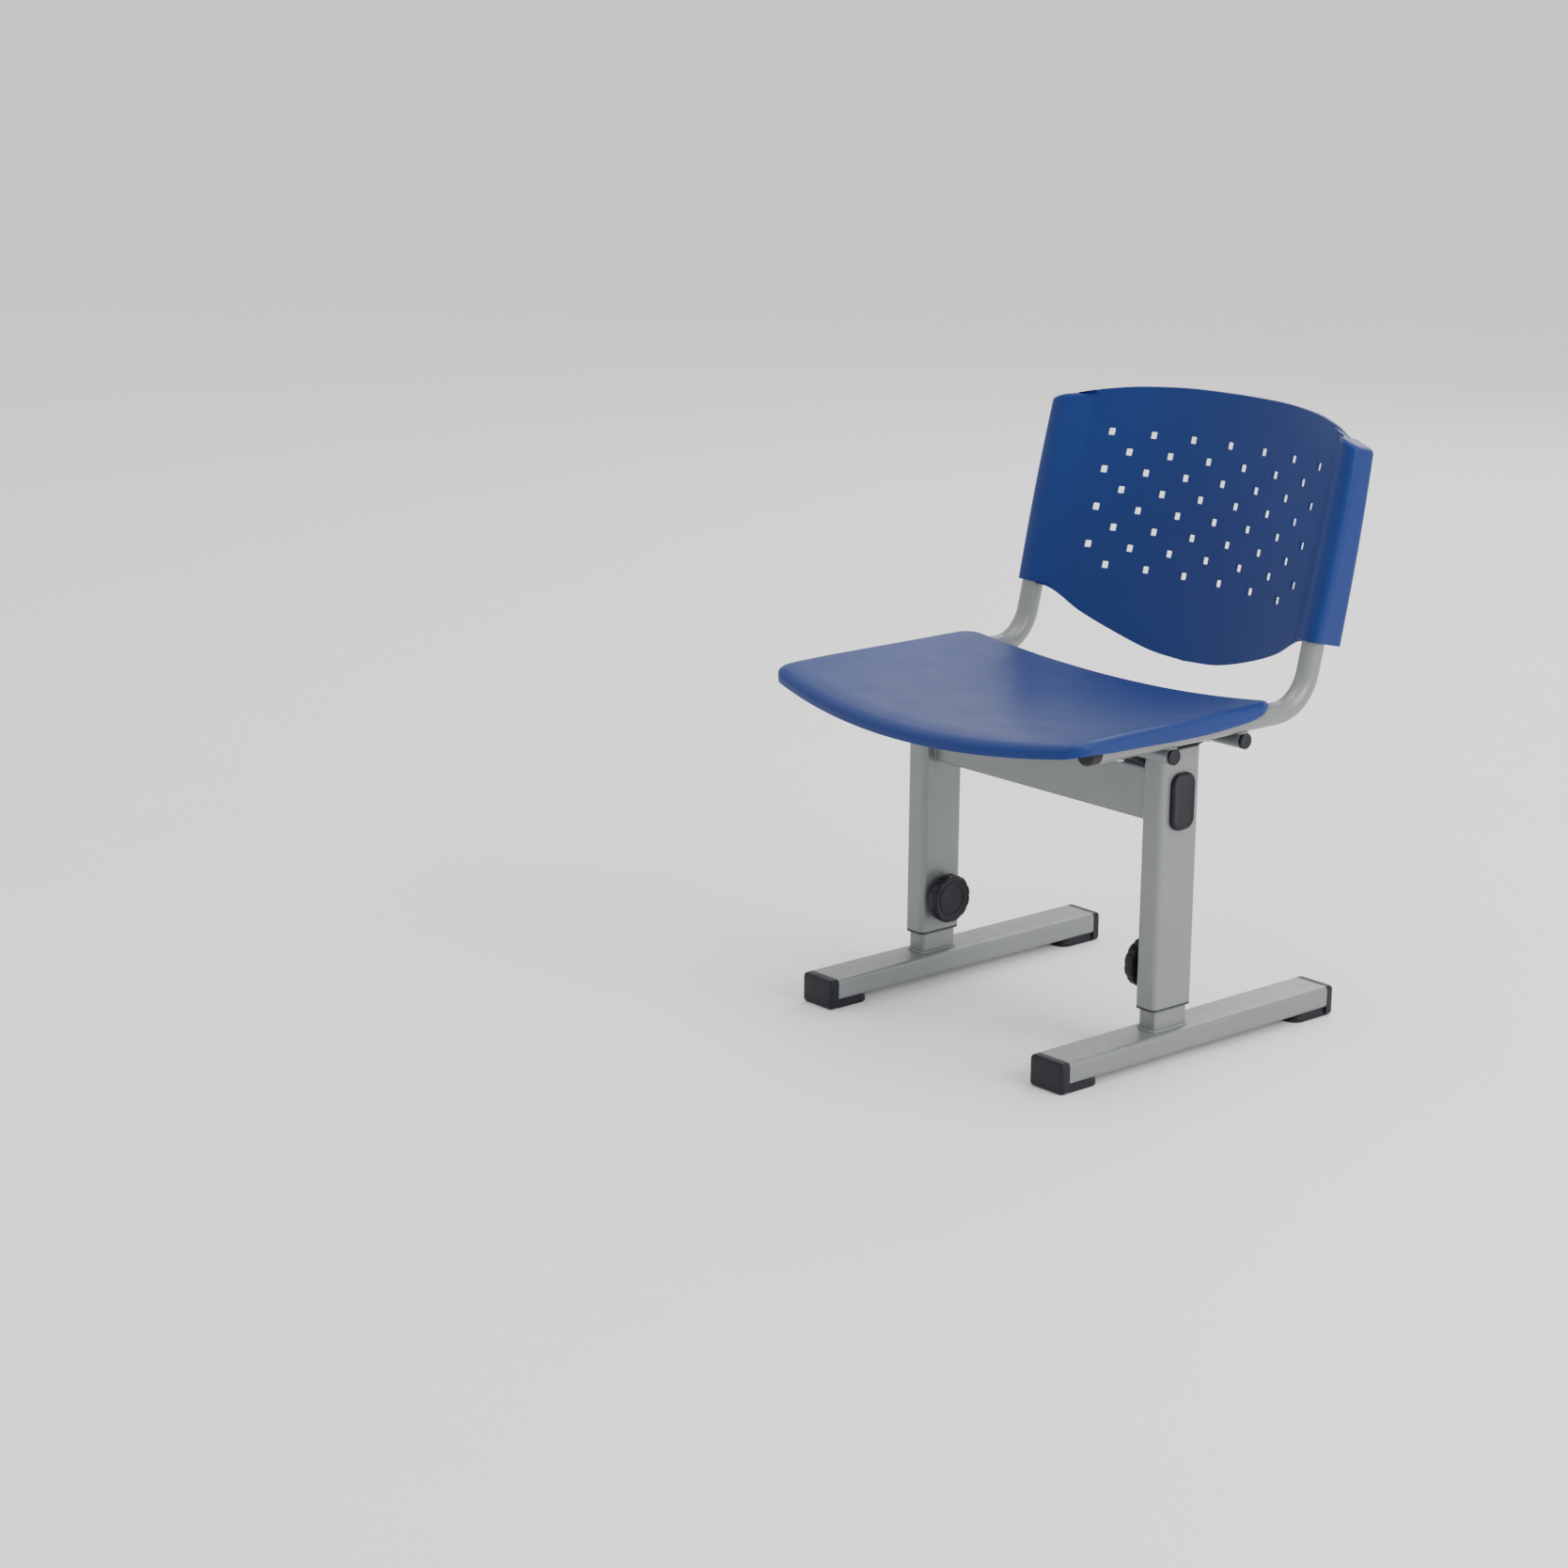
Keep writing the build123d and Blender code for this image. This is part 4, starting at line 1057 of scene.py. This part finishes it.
def foot_cap(side, end, p):
    """End cap of a foot: a rounded block over the tube's end and a pad below it with two rounded corners."""
    low, high, _, _ = box(f"{'right' if side > 0 else 'left'}_{end}_foot_cap")
    out = -1 if end == "front" else 1
    tip = low[1] if end == "front" else high[1]
    x, inner_end = side * COLUMN_X, tip - out * p.cap
    block_loop = rounded_rectangle(FOOT_SIZE[0], FOOT_HIGH[2], p.corner, 8)
    origin = (x, inner_end, FOOT_HIGH[2] / 2)
    block = solid_bar(block_loop, 0.0, p.cap, origin, (X, Z, out * Y), 0.0003, 0.0048)
    pad_corners = (0.001, p.pad_corner, p.pad_corner, 0.001)
    pad_loop = rounded_rectangle(p.pad_width, p.pad_length, pad_corners, 10)
    pad_middle = (x, inner_end - out * (p.pad_length / 2 - 0.0005), 0)
    along, inset = quarter(0.0016, 4)
    at = np.concatenate([along, [0.0045, 0.0050, 0.0058, 0.0098, 0.0100]])
    draw = np.concatenate([inset, [0.0, 0.0006, 0.0009, 0.0009, 0.0014]])
    rows = carried(pad_loop, at, draw, pad_middle, (-out * X, -out * Y, Z))
    return [block, capped(rows)]


class CHAIR_OT_feet(bpy.types.Operator):
    """Makes the foot tubes, their end caps with pads, and the weld beads at the inner columns"""

    bl_idname = "chair.feet"
    bl_label = "Feet"

    def execute(self, context):
        chair = context.scene.student_chair
        p = chair.feet
        made = finishes(chair.colours)
        loop = rounded_rectangle(FOOT_SIZE[0], FOOT_SIZE[2], p.corner, 8)
        for name, s in SIDES:
            body = f"{name}_leg"
            origin = (s * COLUMN_X, 0, FOOT_MID[2])
            tube = solid_bar(loop, FOOT_LOW[1], FOOT_HIGH[1], origin, (X, Z, Y), 0.0002)
            make_piece(f"{name}_foot", [tube], made["silver"], body, (f"{name}_foot_tube",))
            for end in ("front", "rear"):
                cap = foot_cap(s, end, p)
                node = f"{name}_{end}_foot_cap"
                make_piece(f"{name}_{end}_foot_end", cap, made["black"], body, (node,))
            dress(f"{name}_inner_column", made["silver"])
            low, _, middle, size = box(f"{name}_inner_column")
            points, normals = rounded_rectangle(size[0], size[1], 0.004, 8)
            ring = resampled(points + 0.0004 * normals, 0.0006)
            foot_z = np.full(len(ring), low[2] + 0.0003)
            path = np.stack([ring[:, 0] + middle[0], ring[:, 1] + middle[1], foot_z], 1)
            bead = weld_bead(path, chair.tubes.bead, chair.tubes.ripple)
            make_piece(f"{name}_foot_weld", [bead], made["silver"], body, (), level=False)
        return {"FINISHED"}


# ---------------------------------------------------------------- screws


def screw_head(origin, axes, radius, height, reach):
    """A domed screw head with a cross recess on a stem that reaches back from it: height is the dome less a
    soft-edged cross near the middle."""
    turn = np.linspace(0, 2 * pi, 64, endpoint=False)
    r = np.concatenate([np.linspace(0.02, 0.98, 22), [1.0]])[::-1] * radius
    x, y = r[:, None] * np.cos(turn), r[:, None] * np.sin(turn)
    dome = height * np.sqrt(np.clip(1 - (r[:, None] / radius) ** 2 * 0.86, 0, 1))
    arm = np.minimum(np.abs(x), np.abs(y))
    cross = np.clip((0.13 * radius - arm) / (0.05 * radius), 0, 1) * np.clip(
        (0.55 * radius - np.maximum(np.abs(x), np.abs(y))) / (0.08 * radius), 0, 1
    )
    z = dome - 0.55 * height * cross
    u, v, w = (np.asarray(axis, float) for axis in axes)
    top = x[..., None] * u + y[..., None] * v + z[..., None] * w
    ring = np.cos(turn)[:, None] * u + np.sin(turn)[:, None] * v
    steps = ((0.4 * radius, -reach), (0.4 * radius, 0.0), (radius, 0.0))
    stem = np.stack([across * ring + along * w for across, along in steps])
    return capped(np.asarray(origin, float) + np.concatenate([stem, top]))


class CHAIR_OT_screws(bpy.types.Operator):
    """Makes the screws that hold the seat and the backrest to the rails"""

    bl_idname = "chair.screws"
    bl_label = "Screws"

    def execute(self, context):
        chair = context.scene.student_chair
        made = finishes(chair.colours)
        seat_heads, back_heads = [], []
        for _, s in SIDES:
            for y in SEAT_SCREW_Y:
                seat = (s * RAIL_X, y, RAIL_Z - RAIL_RADIUS + 0.0001)
                seat_heads.append(screw_head(seat, (X, -Y, -Z), 0.005, 0.003, 0.026))
            seat = np.array([s * RAIL_X, post_y(BACK_SCREW_Z), BACK_SCREW_Z]) + 0.0301 * POST_BACKWARDS
            back_heads.append(screw_head(seat, (X, -POST_DIRECTION, POST_BACKWARDS), 0.00425, 0.0024, 0.018))
        for place, heads in (("seat", seat_heads), ("backrest", back_heads)):
            name, node = f"{place}_screw_heads", f"{place}_screws"
            make_piece(name, heads, made["zinc"], "upper_frame", (node,), level=False)
        return {"FINISHED"}


# ---------------------------------------------------------------- stage


def area_light(name, place, target, size, power):
    """A square soft light that faces a point."""
    data = bpy.data.lights.new(name, "AREA")
    data.shape, data.size, data.energy = "SQUARE", size, power
    lamp = bpy.data.objects.new(name, data)
    lamp.location = place
    lamp.rotation_euler = (Vector(target) - Vector(place)).to_track_quat("-Z", "Y").to_euler()
    bpy.context.scene.collection.objects.link(lamp)


class CHAIR_OT_stage(bpy.types.Operator):
    """Sets the pale floor, the soft lights and the camera"""

    bl_idname = "chair.stage"
    bl_label = "Stage"

    def execute(self, context):
        scene = context.scene
        bpy.ops.mesh.primitive_plane_add(size=120)
        floor = context.object
        floor.name = "studio_floor"
        floor.data.materials.append(finishes(scene.student_chair.colours)["floor"])
        area_light("Key light", (3.4, 0.6, 2.2), (0, 0, 0.35), 2.0, 110)
        area_light("Rear light", (-1.5, 3.6, 2.6), (0, 0, 0.35), 2.5, 60)
        area_light("Top light", (0.2, 0.2, 4.2), (0, 0, 0.3), 2.5, 60)
        world = bpy.data.worlds.new("Studio")
        world.use_nodes = True
        background = world.node_tree.nodes["Background"]
        background.inputs["Color"].default_value = (1.0, 1.0, 1.0, 1.0)
        background.inputs["Strength"].default_value = 1.15
        scene.world = world

        data = bpy.data.cameras.new("Camera")
        data.sensor_width, data.lens, data.clip_end = 36.0, 79.6, 200.0
        camera = bpy.data.objects.new("Camera", data)
        ahead = Vector((-0.73222, 0.63203, -0.25375)).normalized()
        right = ahead.cross(Vector((0, 0, 1))).normalized()
        up = right.cross(ahead)
        roll = radians(0.5)
        right, up = right * cos(roll) + up * sin(roll), up * cos(roll) - right * sin(roll)
        turn = Matrix((right, up, -ahead)).transposed().to_4x4()
        camera.matrix_world = Matrix.Translation((2.62633, -2.68736, 1.24303)) @ turn
        scene.collection.objects.link(camera)
        scene.camera = camera
        return {"FINISHED"}


class CHAIR_PT_panel(bpy.types.Panel):
    """Lists the chair's operators and sizes"""

    bl_idname = "CHAIR_PT_panel"
    bl_label = "Student Desk Chair"
    bl_space_type = "VIEW_3D"
    bl_region_type = "UI"
    bl_category = "Chair"

    def draw(self, context):
        for operator in OPERATORS:
            self.layout.operator(operator.bl_idname)
        chair = context.scene.student_chair
        for group in (chair.seat, chair.back, chair.tubes, chair.feet, chair.knobs, chair.colours):
            column = self.layout.column(align=True)
            for key in group.__annotations__:
                column.prop(group, key)


GROUPS = (
    ChairSeatSizes,
    ChairBackSizes,
    ChairFrameSizes,
    ChairFootSizes,
    ChairKnobSizes,
    ChairColours,
    ChairSettings,
)
OPERATORS = (
    CHAIR_OT_seat,
    CHAIR_OT_backrest,
    CHAIR_OT_rails,
    CHAIR_OT_crossbeam,
    CHAIR_OT_columns,
    CHAIR_OT_knobs,
    CHAIR_OT_feet,
    CHAIR_OT_screws,
    CHAIR_OT_stage,
)


def register():
    for item in (*GROUPS, *OPERATORS, CHAIR_PT_panel):
        bpy.utils.register_class(item)
    bpy.types.Scene.student_chair = PointerProperty(type=ChairSettings)


def unregister():
    del bpy.types.Scene.student_chair
    for item in reversed((*GROUPS, *OPERATORS, CHAIR_PT_panel)):
        bpy.utils.unregister_class(item)


def main():
    register()
    bpy.ops.chair.seat()
    bpy.ops.chair.backrest()
    bpy.ops.chair.rails()
    bpy.ops.chair.crossbeam()
    bpy.ops.chair.columns()
    bpy.ops.chair.knobs()
    bpy.ops.chair.feet()
    bpy.ops.chair.screws()
    bpy.ops.chair.stage()


if __name__ == "__main__":
    main()
